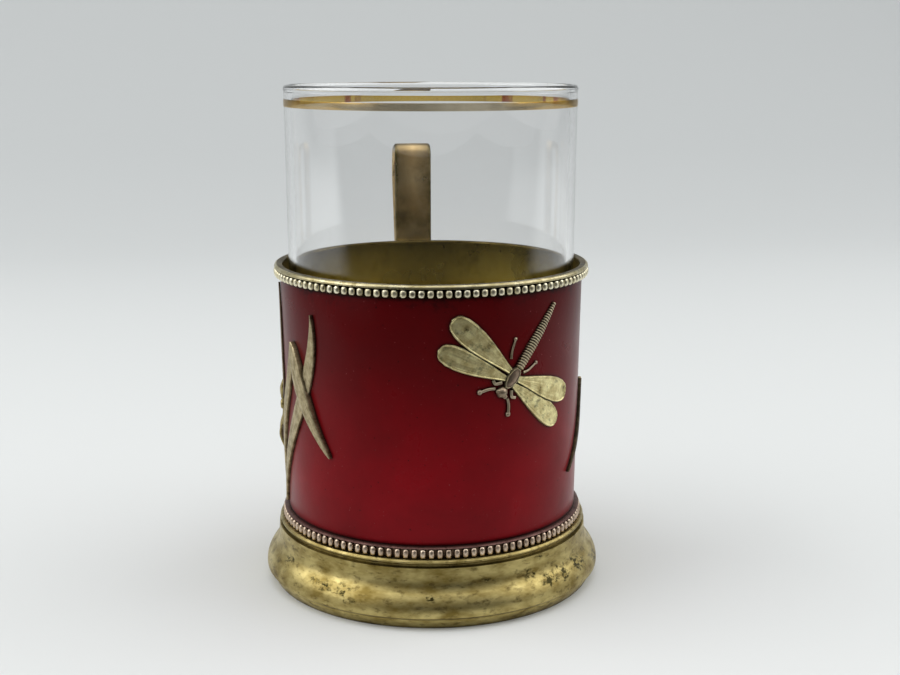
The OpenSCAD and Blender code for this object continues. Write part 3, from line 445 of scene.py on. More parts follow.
# Floor plate
# A plain brass disc soldered inside the foot. The glass stands on it.


def refinished(node, finish):
    """Gives a part that is carried over from the frame its finish."""
    nodes[node].data.materials.clear()
    nodes[node].data.materials.append(finish)


refinished("floor_plate", inner_brass)

# Handle
# One brass strap, filed to a taper, its edges eased, bent into an open loop and
# soldered to the wall on two small pads. Satin brown-yellow brass.
STRAP_T, STRAP_IN_R, STRAP_LOW = 1.5, 38.05, 63.0
STRAP_TOP, STRAP_OUT_R, TAIL_R, TAIL_Z, TAIL_LEN = 100.25, 64.65, 36.28, 21.0, 9.0
TOP_HALF, LEG_HALF, TAIL_HALF = 4.85, 3.3, 2.6
INNER_BEND, OUTER_BEND, KNEE_BEND, TAIL_BEND = 2.4, 7, 14, 3.5
SHADOW_BAND_Z, SHADOW_BAND_MM = 80.5, 2.5


def moved(piece, spots_mm):
    """Puts a piece's vertices in new places, given in mm."""
    piece.data.vertices.foreach_set("co", (np.array(spots_mm) * MM).reshape(-1))
    piece.data.update()


def turned(x, y, angle):
    """A place turned round the origin by an angle."""
    return x * cos(angle) - y * sin(angle), x * sin(angle) + y * cos(angle)


def bend(a, b, c, radius, steps=12):
    """Points of the arc that rounds corner b."""
    a, b, c = (np.array(q, float) for q in (a, b, c))
    u, v = (a - b) / np.linalg.norm(a - b), (c - b) / np.linalg.norm(c - b)
    half = acos(float(u @ v)) / 2
    centre = b + (u + v) / np.linalg.norm(u + v) * radius / sin(half)
    start = b + u * radius / tan(half) - centre
    side = copysign(1, u[0] * v[1] - u[1] * v[0])
    return [centre + np.array(turned(*start, side * (i / steps) * (2 * half - pi)))
            for i in range(steps + 1)]


def wrapped_skin(name, rows, angle=40):
    """A skin drawn over a run of closed cross-sections, given in mm: a grid rolled into a tube and closed."""
    rows = np.array(rows, float)
    rows = np.concatenate([rows, rows[:, :1]], axis=1)
    count, width = rows.shape[:2]
    piece = begun(name, bpy.ops.mesh.primitive_grid_add, x_subdivisions=width - 1,
                  y_subdivisions=count - 1, size=1)
    moved(piece, rows)
    bpy.ops.object.mode_set(mode="EDIT")
    bpy.ops.mesh.select_all(action="SELECT")
    bpy.ops.mesh.remove_doubles(threshold=0.004 * MM)
    bpy.ops.mesh.select_all(action="SELECT")
    bpy.ops.mesh.fill_holes(sides=0)
    bpy.ops.object.mode_set(mode="OBJECT")
    return tidy_up(piece, angle)


corner = (STRAP_OUT_R, STRAP_TOP - 2.8)
knee = (TAIL_R + (STRAP_OUT_R - TAIL_R) * 0.72, TAIL_Z + (STRAP_TOP - TAIL_Z) * 0.45)
landing, inner_corner = (TAIL_R, TAIL_Z + TAIL_LEN), (STRAP_IN_R, STRAP_TOP)
strap_line = ([np.array((STRAP_IN_R, z)) for z in (STRAP_LOW, 80.0, 90.0)]
              + bend((STRAP_IN_R, STRAP_LOW), inner_corner, corner, INNER_BEND)
              + bend(inner_corner, corner, knee, OUTER_BEND, 16) + bend(corner, knee, landing, KNEE_BEND, 10)
              + bend(knee, landing, (TAIL_R, TAIL_Z), TAIL_BEND, 10) + [np.array((TAIL_R, TAIL_Z))])
# The strap's section with its eased edges: shares of its half width and half thickness.
strap_half = [(1, 0.45), (0.93, 0.93), (0.8, 1), (0, 1.04), (-0.8, 1), (-0.93, 0.93), (-1, 0.45)]
strap_section = strap_half + [(across, -min(thick, 1.0)) for across, thick in reversed(strap_half)]
strap_rows = []
for i, spot in enumerate(strap_line):
    way = strap_line[min(i + 1, len(strap_line) - 1)] - strap_line[max(i - 1, 0)]
    way = way / np.linalg.norm(way)
    out = np.array([-way[1], way[0]])
    # The inner leg and the top are widest at the wall; the outer leg narrows down to its tail.
    if spot[1] > 85 or spot[0] < STRAP_IN_R + 0.2 and spot[1] > 60:
        half = np.interp(spot[0], [STRAP_IN_R + INNER_BEND, STRAP_OUT_R], [TOP_HALF, LEG_HALF])
    else:
        half = np.interp(spot[1], [TAIL_Z, STRAP_TOP - 9.8], [TAIL_HALF, LEG_HALF])
    ring = []
    for across, thick in strap_section:
        p = spot + out * thick * STRAP_T / 2
        ring.append((across * half, p[0], p[1]))
    strap_rows.append(ring)
# Satin brass, handled daily: soft lengthwise clouds, darker towards its edges, with a painted shadow band
# across it.
handle_brass = old_brass("satin_strap_brass", "#e0c696", "#bc9c69", "#7d6740", 10, 0.3, speck_share=0.7,
                         shaded=True)
strap = wrapped_skin("bent_strap", strap_rows, angle=50)
co = places(strap)
# Darker towards the strap's edges, and a painted shadow band across it at 80.5 mm.
dark_edge = np.interp(np.abs(co[:, 0]), [2.6, 4.6], [0, 1])
marked(strap, "dark_edges_and_shadow_band", np.maximum(dark_edge, 0.7 * np.exp(-((co[:, 2] - SHADOW_BAND_Z) / SHADOW_BAND_MM) ** 2)))
dressed(strap, handle_brass, "holder", "handle_strap")
for pad in ("handle_upper_pad", "handle_lower_pad"):
    refinished(pad, handle_brass)

# Dragonfly
# Cast and chased brass, soldered to the enamelled wall in separate pieces: four
# veined wings, a ringed abdomen, a bordered thorax plate, head, legs and feelers.
FLY_SIDE, FLY_Z, FLY_TURN, SOLDER = 13.6, 54.6, radians(39), 0.04
THORAX_LEN, THORAX_W, HEAD_R, ABDOMEN_R, ABDOMEN_LEN, RINGS = 5.2, 2.6, 1.3, 1.2, 17.0, 28


def on_wall(along, height, out):
    """A point out from the wall, by its distance along the wall from the front line and its height."""
    angle = along / WALL_R
    reach = wall_at(height) + SOLDER + out
    return (reach * sin(angle), -reach * cos(angle), height)


def on_body(along, across):
    """A place along and across the dragonfly's body, on the unrolled wall."""
    dx, dz = turned(across, along, -FLY_TURN)
    return FLY_SIDE + dx, FLY_Z + dz


# Half width of a wing along its length, as shares.
WING_SIDE = ([0, .12, .26, .42, .58, .72, .84, .93, .97, 1], [.13, .2, .3, .4, .475, .5, .47, .375, .265, 0])
# Gilt brass, chased and then toned dark in its lines, deepened by painted shade: cloudy yellow with a bright
# border, rubbed and painted as a highlight.
wing_brass = old_brass("chased_wing_brass", "#fdf3b8", "#c6b47c", "#433d22", 1.9, 0.42, rubbed_and_lit=0.5,
                       recess_mm=0.7, recess=0.95, grain=0.05, speck_share=0.9)


def wing_height(edge_mm, v, u):
    """Height of a wing's face: a raised border, a sunk line inside it, and long veins over a low dome."""
    border = np.interp(edge_mm, [0, 0.06, 0.16, 0.3, 0.42, 0.55, 0.9, 2.5],
                       [0.2, 0.5, 0.66, 0.63, 0.5, 0.47, 0.5, 0.56])
    veins = sum(0.07 * exp(-((v - c + 0.06 * sin(5 * u + 9 * c)) / 0.055) ** 2)
                for c in (-0.62, -0.36, -0.1, 0.17, 0.42, 0.66))
    fade = np.interp(edge_mm, [0.35, 0.7], [0, 1]) * np.interp(u, [0.0, 0.1, 0.75, 0.95], [0.3, 1, 1, 0.2])
    hollow = 0.16 * exp(-((v - 0.28) / 0.16) ** 2) * exp(-((u - 0.62) / 0.26) ** 2)
    return border + (veins - hollow) * fade


def wing(name, node, root, turn, length, width, over=None):
    """A wing from its root beside the thorax; where the wing named in over lies on it, it is tucked under."""
    place, way = on_body(*root), pi / 2 - FLY_TURN + radians(turn)

    def tucked(spot):
        if not over:
            return False
        root2, turn2, length2, width2 = over
        place2, way2 = on_body(*root2), pi / 2 - FLY_TURN + radians(turn2)
        x2, y2 = turned(spot[0] - place2[0], spot[1] - place2[1], -way2)
        return 0 < x2 < length2 and abs(y2) < np.interp(x2 / length2, *WING_SIDE) * width2 + 0.14

    rows = []
    for t in np.linspace(0, 1, 76):
        u = min(1 - (1 - t) ** 1.7, 0.9995)
        half = np.interp(u, *WING_SIDE) * width
        row = []
        for v in [sin(s * pi / 2) for s in np.linspace(-1, 1, 47)] + [1.0, -1.0]:
            dx, dz = turned(u * length, v * half, way)
            spot = (place[0] + dx, place[1] + dz)
            face = wing_height(min((1 - abs(v)) * half, (1 - u) * length * 0.8), v, u)
            if len(row) >= 47:
                face = 0.0
            elif over:
                face = 0.03 if tucked(spot) else 0.85 * face
            row.append(on_wall(*spot, face))
        rows.append(row)
    dressed(wrapped_skin(name, rows, angle=60), wing_brass, "holder", node)


# Root beside the thorax, turn in degrees, length and width.
upper_left, upper_right = ((0.95, -1.4), 86.5, 18.1, 5.5), ((0.6, 1.5), -70.5, 17.4, 5.6)
wing("upper_left_wing", "dragonfly_upper_left_wing", *upper_left)
wing("lower_left_wing", "dragonfly_lower_left_wing", (-0.95, -1.3), 104, 16.8, 5.2, over=upper_left)
wing("upper_right_wing", "dragonfly_upper_right_wing", *upper_right)
wing("lower_right_wing", "dragonfly_lower_right_wing", (-1.05, 1.4), -88.5, 17.4, 5.2, over=upper_right)

# Cast brass toned brown, rubbed on its high points: its rings read as light and dark lines.
body_brass = old_brass("toned_body_brass", "#a8937f", "#857160", "#43362b", 2, 0.38, recess_mm=0.5,
                       recess=0.95, rubbed_and_lit=0.5)


def laid_on_body(piece, along, across, lift=0.0):
    """Turns an upright form round its own length into its place on the body, its back cut by the wall."""
    place = on_body(along, across)
    angle = place[0] / WALL_R
    co = places(piece)
    x, z = turned(co[:, 0], co[:, 2], -FLY_TURN)
    z += place[1]
    gx, gy = turned(x, co[:, 1] - wall_at(place[1]) - SOLDER - lift, angle)
    reach = np.hypot(gx, gy)
    push = np.maximum(reach, wall_at(z) + SOLDER) / reach
    moved(piece, np.stack([gx * push, gy * push, z], 1))
    return piece


# Thorax: a shield with a raised border line and a domed middle.
corners = [(-0.5, 0.1), (-0.38, 0.3), (-0.06, 0.5), (0.3, 0.42), (0.5, 0.2), (0.5, -0.2),
           (0.3, -0.42), (-0.06, -0.5), (-0.38, -0.3), (-0.5, -0.1)]
thorax_rows = []
for share, height in ((1.0, 0.0), (1.0, 0.75), (0.95, 0.92), (0.88, 0.95), (0.83, 0.84), (0.77, 0.86),
                      (0.6, 0.98), (0.3, 1.08), (0.02, 1.1)):
    ring = []
    for (a1, c1), (a2, c2) in zip(corners, corners[1:] + corners[:1]):
        for t in (0, 0.25, 0.5, 0.75):
            along, across = a1 + (a2 - a1) * t, c1 + (c2 - c1) * t
            ring.append(on_wall(*on_body(along * share * THORAX_LEN, across * share * THORAX_W), height))
    thorax_rows.append(ring)
dressed(wrapped_skin("thorax_shield", thorax_rows), body_brass, "holder", "dragonfly_thorax")

# Abdomen: a rod turned with rings, tapering to a blunt tail.
pitch = ABDOMEN_LEN / RINGS
abdomen_profile = [(0.0, -ABDOMEN_LEN / 2)]
for i in range(RINGS):
    radius = ABDOMEN_R * np.interp((i + 0.5) / RINGS, [0, .12, .35, .6, .85, 1], [.76, .9, 1, .92, .62, .36])
    for up, share in ((0.02, 0.74), (0.22, 0.95), (0.45, 1.0), (0.68, 0.95), (0.88, 0.74)):
        abdomen_profile.append((radius * share, pitch * (i + up) - ABDOMEN_LEN / 2))
abdomen_profile.append((0.0, ABDOMEN_LEN / 2))
abdomen = turned_form("ringed_abdomen", abdomen_profile, sides=36, angle=60)
laid_on_body(abdomen, (THORAX_LEN + ABDOMEN_LEN) / 2 + 0.04, 0)
dressed(abdomen, body_brass, "holder", "dragonfly_abdomen")

# Head: a ball with a chased brow line; the eyes are two beads on it.
head = turned_form("domed_head", [(0.0, -HEAD_R)] + arc((0, 0), HEAD_R, -80, 28, 12)
                   + [(1.1, 0.68), (1.06, 0.74)] + arc((0, 0), HEAD_R, 38, 80, 5) + [(0.0, HEAD_R)],
                   sides=40, angle=45)
laid_on_body(head, -THORAX_LEN / 2 - HEAD_R * 0.85 - 0.04, 0)
dressed(head, body_brass, "holder", "dragonfly_head")


def knob(name, along, across, radius, lift):
    """A small ball, stretched a little and set on the body."""
    ball = begun(name, bpy.ops.mesh.primitive_uv_sphere_add, segments=24, ring_count=16,
                 radius=radius * MM)
    ball.scale = (1, 1, 1.08)
    tidy_up(ball, 60)
    return laid_on_body(ball, along, across, lift)


def joined(name, pieces):
    """Joins pieces that are soldered into one."""
    bpy.ops.object.select_all(action="DESELECT")
    for piece in pieces:
        piece.select_set(True)
    bpy.context.view_layer.objects.active = pieces[0]
    bpy.ops.object.join()
    pieces[0].name = pieces[0].data.name = name
    return pieces[0]


eyes = joined("bead_eyes", [
    knob("eye", -THORAX_LEN / 2 - HEAD_R * 1.2, side * HEAD_R * 0.85, 0.5, HEAD_R * 0.33)
    for side in (-1, 1)])
dressed(eyes, body_brass, "holder", "dragonfly_eyes")


def wire_on_body(name, shares, side, half=0.34, top=0.62, ends=(1.0, 1.0)):
    """A round wire bent over places on the body, thinner at one end."""
    path = [on_body(a * THORAX_LEN, side * c * THORAX_LEN) for a, c in shares]
    path = np.array(smoothed(path, 7))
    rows = []
    for i, spot in enumerate(path):
        way = path[min(i + 1, len(path) - 1)] - path[max(i - 1, 0)]
        way = way / np.linalg.norm(way)
        size = half * (ends[0] + (ends[1] - ends[0]) * i / (len(path) - 1))
        ring = []
        for k in range(12):
            a = 2 * pi * k / 12
            over = size * cos(a)
            ring.append(on_wall(spot[0] - way[1] * over, spot[1] + way[0] * over,
                                top / 2 * (1 + sin(a)) * (size / half)))
        rows.append(ring)
    return wrapped_skin(name, rows, angle=60)


# Drawn brass wire, toned brown with a copper cast, bright along its top.
leg_brass = old_brass("copper_toned_leg_brass", "#a48f82", "#7d6a5e", "#43352b", 2, 0.36, recess_mm=0.5,
                      recess=0.9, rubbed_and_lit=0.5)
HOOKED = [(-0.42, -0.3), (-0.62, -0.5), (-0.56, -0.68)]
FEELER = [(-0.79, -0.385), (-0.981, -0.615), (-1.298, -0.846)]
legs, feelers = [], []


def tip(name, path, side, radius, lift):
    """A knob on the end of a wire."""
    return knob(name, path[-1][0] * THORAX_LEN, side * path[-1][1] * THORAX_LEN, radius, lift)


for side, hind in ((1, [(0.62, -0.56), (0.9, -0.73), (1.38, -0.9)]),
                   (-1, [(0.5, -0.34), (0.74, -0.52), (1.2, -0.69)])):
    legs.append(wire_on_body("hind_leg", hind, side, half=0.25, top=0.5, ends=(1.15, 0.8)))
    legs.append(wire_on_body("hooked_leg", HOOKED, side, ends=(1.15, 1.0)))
    legs.append(tip("hind_foot", hind, side, 0.4, 0.12))
dressed(joined("bent_legs", legs), leg_brass, "holder", "dragonfly_legs")
for side in (-1, 1):
    feelers.append(wire_on_body("feeler", FEELER, side, ends=(0.9, 1.0)))
    feelers.append(tip("feeler_knob", FEELER, side, 0.56, 0.18))
dressed(joined("knobbed_feelers", feelers), leg_brass, "holder", "dragonfly_feelers")

# Iris leaves
# Long leaves sawn from brass strip, filed to a soft crown with a sunk midline,
# bent to the wall and soldered on; satin gilt, with fine lengthwise file marks.
ENAMEL_H = ENAMEL_TOP - ENAMEL_LOW
# Width of a leaf along its length, as shares; a bent leaf has a rising and a falling half.
LEAF_WIDTHS = ([0, .12, .3, .5, .65, .78, .88, .95, 1], [.3, .5, .78, .96, 1, .84, .58, .3, .04])
RISE_WIDTHS = ([0, .12, .3, .5, .7, .88, 1], [.3, .5, .72, .8, .74, .56, .34])
FALL_AT = [0, .03, .08, .2, .38, .55, .72, .88, .97, 1]
LEAF_LEN = 40


def filed_brass(name, bright, mid, dark):
    """Satin brass with file marks along the leaf, read from its own length and width."""
    material = new_finish(name)
    cloudy = spots(material, 1.4, 0.4, 0.66)
    colour = blended(material, cloudy, bright, mid)
    across = add_node(material, "Attribute", attribute_name="across").outputs["Fac"]
    along = add_node(material, "Attribute", attribute_name="along").outputs["Fac"]
    place = add_node(material, "CombineXYZ", {"X": across, "Y": along})
    marks = add_node(material, "Mapping", {"Vector": place, "Scale": (9, 0.25, 1)})
    grain = add_node(material, "TexNoise", {"Vector": marks, "Scale": 1.0, "Detail": 3.0})
    file_marks = add_node(material, "MapRange", {
        "Value": grain, "From Min": 0.42, "From Max": 0.68, "To Max": 0.55})
    colour = blended(material, file_marks, colour, dark)
    # Grime and painted shade where a leaf or petal meets the wall or another piece.
    colour = grimed_and_shaded(material, colour, 1.1, 0.35, 0.9, 0.9, "#17120b")
    bump = add_node(material, "Bump", {"Height": grain, "Distance": 0.04 * MM, "Strength": 0.7})
    metal = add_node(material, "BsdfPrincipled", {
        "Base Color": colour, "Metallic": 1.0, "Roughness": 0.45, "Normal": bump})
    return shown(material, metal)


def curve(poles, t):
    """Point and direction on a curve with four poles."""
    p = [np.array(q, float) for q in poles]
    spot = (1 - t) ** 3 * p[0] + 3 * (1 - t) ** 2 * t * p[1] + 3 * (1 - t) * t * t * p[2] + t ** 3 * p[3]
    way = (1 - t) ** 2 * (p[1] - p[0]) + 2 * (1 - t) * t * (p[2] - p[1]) + t * t * (p[3] - p[2])
    return spot, way / np.linalg.norm(way)


def leaf(name, shares, width, widths, top, reach=ENAMEL_H, groove=0.14, crown=0.35):
    """A crowned strip that follows its curve on the wall; top gives its height at shares of its length."""
    poles = [(radians(a) * WALL_R, ENAMEL_LOW + h * reach) for a, h in shares]
    rows, marks = [], []
    for t in np.linspace(0, 1, 48):
        spot, way = curve(poles, t)
        half = width * np.interp(t, *widths) / 2
        high = np.interp(t, *top)
        sunk = groove * np.interp(t, [0, .1, .85, 1], [0, 1, 1, 0])
        row = []
        for s in np.linspace(-1, 1, 19):
            v = sin(s * pi / 2)
            face = high * (1 - crown + crown * sqrt(max(0, 1 - v * v)))
            face -= sunk * exp(-(v * half / 0.28) ** 2)
            row.append(on_wall(spot[0] - way[1] * v * half, spot[1] + way[0] * v * half, face))
            marks.append((v * half, t * LEAF_LEN))
        for v in (1, -1):
            row.append(on_wall(spot[0] - way[1] * v * half, spot[1] + way[0] * v * half, 0))
            marks.append((v * half, t * LEAF_LEN))
        rows.append(row)
    piece = wrapped_skin(name, rows, angle=50)
    spots_at, marks = np.array(rows).reshape(-1, 3), np.array(marks)
    nearest = np.array([np.argmin(((spots_at - c) ** 2).sum(1)) for c in places(piece)])
    marked(piece, "across", marks[nearest, 0])
    marked(piece, "along", marks[nearest, 1])
    return piece


# Satin gilt: pale along the crown, with brown grain between the file marks.
leaf_brass = filed_brass("filed_leaf_brass", "#ccbd98", "#a0916f", "#453b28")
# The leaf that hangs in shade is painted near black, as its shade and its dark reflection.
shaded_leaf_brass = filed_brass("painted_dark_leaf_brass", "#5e523e", "#3b3226", "#17130d")
# Slim leaf and stems keep the brown tone of the body wires.
brown_leaf_brass = filed_brass("brown_toned_leaf_brass", "#94806a", "#766250", "#3a2f26")


def tall_blade(name, shares, node):
    """An upright leaf, flat from root to tip."""
    blade = leaf(name, shares, 3.8, LEAF_WIDTHS, ([0, 1], [0.8, 0.8]))
    dressed(blade, leaf_brass, "holder", node)


tall_blade("left_tall_blade", [(-89.5, .02), (-80, .328), (-52.1, .571), (-55.4, .897)], "left_tall_leaf")
left_bent = joined("left_bent_blade", [
    leaf("left_rise", [(-97, .023), (-93, .303), (-74, .511), (-69.2, .758)], 3.8, RISE_WIDTHS,
         ([0, .8, 1], [0.78, 0.86, 1.1])),
    leaf("left_fall", [(-69.4, .762), (-64.3, .601), (-57, .45), (-47, .322)], 4.2,
         (FALL_AT, [.12, .42, .7, .95, 1, .84, .58, .34, .2, .05]),
         ([0, .15, .35, .6, .85, 1], [1.15, 1.45, 1.6, 1.55, 1.2, 0.9]), crown=0.3)])
dressed(left_bent, leaf_brass, "holder", "left_bent_leaf")
left_slim = leaf("left_slim_blade", [(-86, .44), (-87, .62), (-89, .8), (-90, .973)], 2.3, LEAF_WIDTHS,
                 ([0, 1], [0.5, 0.5]), groove=0.06)
dressed(left_slim, brown_leaf_brass, "holder", "left_slim_leaf")
tall_blade("left_back_blade", [(-126, .016), (-131, .296), (-121, .585), (-125, .874)], "left_back_leaf")
right_rise = leaf("right_rise", [(104, .023), (100, .224), (92, .404), (79, .54)], 3.8, RISE_WIDTHS,
                  ([0, .8, 1], [0.75, 0.78, 0.8]))
right_fall = leaf("right_fall", [(79.5, .54), (76.5, .449), (72, .314), (56.5, .197)], 3.0,
                  (FALL_AT, [.2, .5, .75, .97, 1, .84, .58, .34, .2, .05]),
                  ([0, .12, .3, 1], [0.9, 0.84, 0.8, 0.75]))
# The falling half takes the painted dark finish.
right_fall.data.materials.append(shaded_leaf_brass)
dressed(right_rise, leaf_brass, "holder", "right_bent_leaf")
joined("right_bent_blade", [right_rise, right_fall])
tall_blade("right_tall_blade", [(116, .016), (115, .368), (98, .621), (103, .91)], "right_tall_leaf")
tall_blade("right_back_blade", [(146, .016), (151, .296), (141, .621), (147, .928)], "right_back_leaf")

# Iris flowers
# Each flower is two small castings over a wire stem: side and upright petals
# round a heart, and a long hanging petal that arches clear of the wall.
PETAL_LEN, PETAL_W, HANGING_LEN, HANGING_W, HANGING_DROP = 7.4, 3.7, 10.5, 4.4, 1.34
LEFT_HEART_Z, RIGHT_HEART_Z = 40.5, 44.0
# Half width of a petal along its length, as shares.
PETAL_SIDE = ([0, .15, .3, .45, .6, .73, .85, .94, .98, 1], [.16, .2, .27, .37, .46, .5, .45, .32, .18, 0])
# Cast brass, yellower and darker than the sawn leaves, with grain from root to edge.
petal_brass = filed_brass("cast_petal_brass", "#bfae76", "#9c8a55", "#4c4025")


def petal(name, angle, heart_z, turn, length, width, lift, thick, ruffle=0.15, flat_back=False):
    """A petal from the flower's heart: lift gives the height of its back over the wall along its length."""
    start, way, rows = radians(angle) * WALL_R, radians(turn), []
    for t in np.linspace(0, 1, 34):
        u = min(1 - (1 - t) ** 1.5, 0.999)
        half = np.interp(u, *PETAL_SIDE) * width
        back = np.interp(u, *lift)
        top, under = [], []
        for s in np.linspace(-1, 1, 13):
            v = sin(s * pi / 2)
            wave = ruffle * sin(11 * u + 2.2 * v) * abs(v) ** 2 * np.interp(u, [0.1, 0.5], [0, 1])
            rib = 0.14 * exp(-(v * half / 0.22) ** 2) * np.interp(u, [0, .1, .7, .95], [0, 1, 1, 0])
            dx, dz = turned(u * length, v * half, way)
            px, pz = start + dx, heart_z + dz
            edge = thick * (0.55 + 0.45 * sqrt(max(0, 1 - v * v)))
            top.append(on_wall(px, pz, max(back + edge + wave + rib, 0.1)))
            low = 0.0 if flat_back else max(back + wave * 0.7, 0.0)
            under.append(on_wall(px, pz, low))
        rows.append(top + under[::-1])
    piece = wrapped_skin(name, rows, angle=60)
    co = places(piece)
    flat = np.degrees(np.arctan2(co[:, 0], -co[:, 1])) - angle
    flat = np.radians((flat + 180) % 360 - 180) * WALL_R
    along, across = turned(flat, co[:, 2] - heart_z, -way)
    marked(piece, "across", across)
    marked(piece, "along", along)
    return piece


def bow(rise):
    """Height of an arch's back along its length."""
    u = np.linspace(0, 1, 21)
    return u, np.maximum(0, 4 * rise * u * (1 - u))


def flower(side, angle, heart_z, petals_node, hanging_node):
    """One iris flower: its heart with two side and two upright petals, and the petal that hangs."""
    heart = turned_form(side + "_heart", [(0, 0), (1.3, 0), (1.3, 1.1)] + arc((0.85, 1.2), 0.45, 0, 90, 5)
                        + [(0.5, 1.5), (0.35, 1.72), (0, 1.75)], sides=32, angle=50)
    start = radians(angle) * WALL_R
    moved(heart, [on_wall(start + x, heart_z + y, out) for x, y, out in places(heart)])
    heart.data.flip_normals()
    parts = [heart]
    for turn in (-160, -20):
        parts.append(petal(side + "_side", angle, heart_z, turn, PETAL_LEN, PETAL_W,
                           ([0, .3, .7, .9, 1], [0, 0, .12, .3, .1]), 0.7, ruffle=0.2, flat_back=True))
    for turn in (66, 114):
        parts.append(petal(side + "_upright", angle, heart_z, turn, PETAL_LEN, PETAL_W, bow(0.8), 0.62,
                           ruffle=0.14))
    dressed(joined(side + "_iris_flower", parts), petal_brass, "holder", petals_node)
    hanging = petal(side + "_hanging_petal", angle, heart_z - HANGING_DROP, -90, HANGING_LEN, HANGING_W,
                    bow(1.45), 0.65, ruffle=0.22)
    dressed(hanging, petal_brass, "holder", hanging_node)


flower("left", -101, LEFT_HEART_Z, "left_iris_petals", "left_iris_hanging_petal")
flower("right", 130, RIGHT_HEART_Z, "right_iris_petals", "right_iris_hanging_petal")
for side, shares, heart_z in (
        ("left", [(-111, .039), (-109, .367), (-108, .716), (-102.6, .943)], LEFT_HEART_Z),
        ("right", [(121, .034), (122, .318), (124, .697), (129.2, .943)], RIGHT_HEART_Z)):
    stem = leaf(side + "_stem_wire", shares, 1.3, ([0, 1], [1, 1]), ([0, 1], [0.65, 0.65]),
                reach=heart_z - ENAMEL_LOW, groove=0, crown=0.9)
    dressed(stem, brown_leaf_brass, "holder", side + "_iris_stem")

# Glass
# A straight tea glass, blown in a mould: thick pressed base with a shallow hollow
# beneath, thin clear wall, and a lip rounded in the flame.
GLASS_Z, GLASS_H = 7.0, 109.6
FOOT_OUT, LIP_OUT, GLASS_T, BASE_T = 33.0, 33.7, 1.7, 4.5
HOLLOW_R, HOLLOW_DEEP, HEEL_ROUND, INNER_ROUND, FLAME_ROUND = 25.6, 0.6, 1.8, 4, 0.95
# Clear soda glass: bends what stands behind it, and lets the lamps through without a hard shadow.
glass_finish = new_finish("clear_soda_glass")
clear = add_node(glass_finish, "BsdfPrincipled", {
    "Base Color": "#ffffff", "Roughness": 0.0, "IOR": 1.5, "Transmission Weight": 1.0})
passing = add_node(glass_finish, "BsdfTransparent", {"Color": "#fbfdfc"})
shown(glass_finish, add_node(glass_finish, "MixShader", {
    0: add_node(glass_finish, "LightPath").outputs["Is Shadow Ray"], 1: clear, 2: passing}))


def glass_r(height):
    """Outer radius of the glass at a height over its foot, in mm."""
    return FOOT_OUT + (LIP_OUT - FOOT_OUT) * height / GLASS_H


base_in_r = glass_r(BASE_T) - GLASS_T
outside = ([(0, HOLLOW_DEEP), (HOLLOW_R, HOLLOW_DEEP), (HOLLOW_R + 0.4, 0.15), (HOLLOW_R + 0.8, 0.0),
            (FOOT_OUT - HEEL_ROUND, 0.0)] + arc((FOOT_OUT - HEEL_ROUND, HEEL_ROUND), HEEL_ROUND, -80, 0, 8)
           + [(glass_r(h), h) for h in (2.0, 2.3, 4, 12, 35, 58, 80, 100, 106, 107.9, 108.2)])
lip = arc((LIP_OUT - 0.82, GLASS_H - FLAME_ROUND), FLAME_ROUND, -15, 165, 14)
inside = ([(glass_r(h) - GLASS_T, h) for h in (108.4, 108.1, 106, 100, 80, 58, 35, 12, 9.2, 8.8)]
          + arc((base_in_r - INNER_ROUND, BASE_T + INNER_ROUND), INNER_ROUND, 0, -90, 10)
          + [(20, BASE_T - 0.1), (8, BASE_T), (0, BASE_T)])
glass = turned_form("tea_glass", [(r, h + GLASS_Z) for r, h in outside + lip + inside], sides=256, angle=60)
dressed(glass, glass_finish, "glass_body", "glass")

# Gilt band
# A line of bright gold painted on below the lip and fired: mirror-like, worn
# thin here and there so that the glass shows through as brown patches.
BAND_LOW, BAND_TOP, BAND_T, BAND_EDGE, BAND_SUNK = 104.75, 106.4, 0.1, 0.06, 0.02
# Fired gold seen through the glass is a yellow mirror; its back lets light pass on to the worn face.
gold = new_finish("fired_bright_gold")
thin = spots(gold, 5, 0.56, 0.62, detail=3, stretch=(1, 1, 0.1))
gold_colour = blended(gold, thin, "#f0cf66", "#b5622a")
leafed = add_node(gold, "BsdfPrincipled", {"Base Color": gold_colour, "Metallic": 1.0, "Roughness": 0.07})
see_through = add_node(gold, "BsdfTransparent", {"Color": "#ffffff"})
shown(gold, add_node(gold, "MixShader", {
    0: add_node(gold, "NewGeometry").outputs["Backfacing"], 1: leafed, 2: see_through}))
# Lips and cloths wear the outer face: a thin brown film that is half clear.
worn_gold = new_finish("worn_outside_of_gold_line")
wear = spots(worn_gold, 9, 0.4, 0.6, detail=2, stretch=(1, 1, 0.1))
wear = add_node(worn_gold, "MapRange", {"Value": wear, "To Min": 0.35, "To Max": 0.6})
film = add_node(worn_gold, "BsdfPrincipled", {"Base Color": "#b08c3c", "Metallic": 1.0, "Roughness": 0.2})
clear_part = add_node(worn_gold, "BsdfTransparent", {"Color": "#e9dcc2"})
shown(worn_gold, add_node(worn_gold, "MixShader", {0: wear, 1: film, 2: clear_part}))
band_r, band_low, band_top = glass_r(BAND_LOW) - BAND_SUNK, GLASS_Z + BAND_LOW, GLASS_Z + BAND_TOP
band = turned_form("fired_gold_line", [
    (band_r, band_low), (band_r + BAND_EDGE, band_low), (band_r + BAND_T, band_low + BAND_T),
    (band_r + BAND_T, band_top - BAND_T), (band_r + BAND_EDGE, band_top), (band_r, band_top),
    (band_r, band_low)], sides=256)
dressed(band, gold, "glass_body", "gilt_band")
band.data.materials.append(worn_gold)
for face in band.data.polygons:
    face.material_index = int(face.normal.x * face.center.x + face.normal.y * face.center.y > 0)

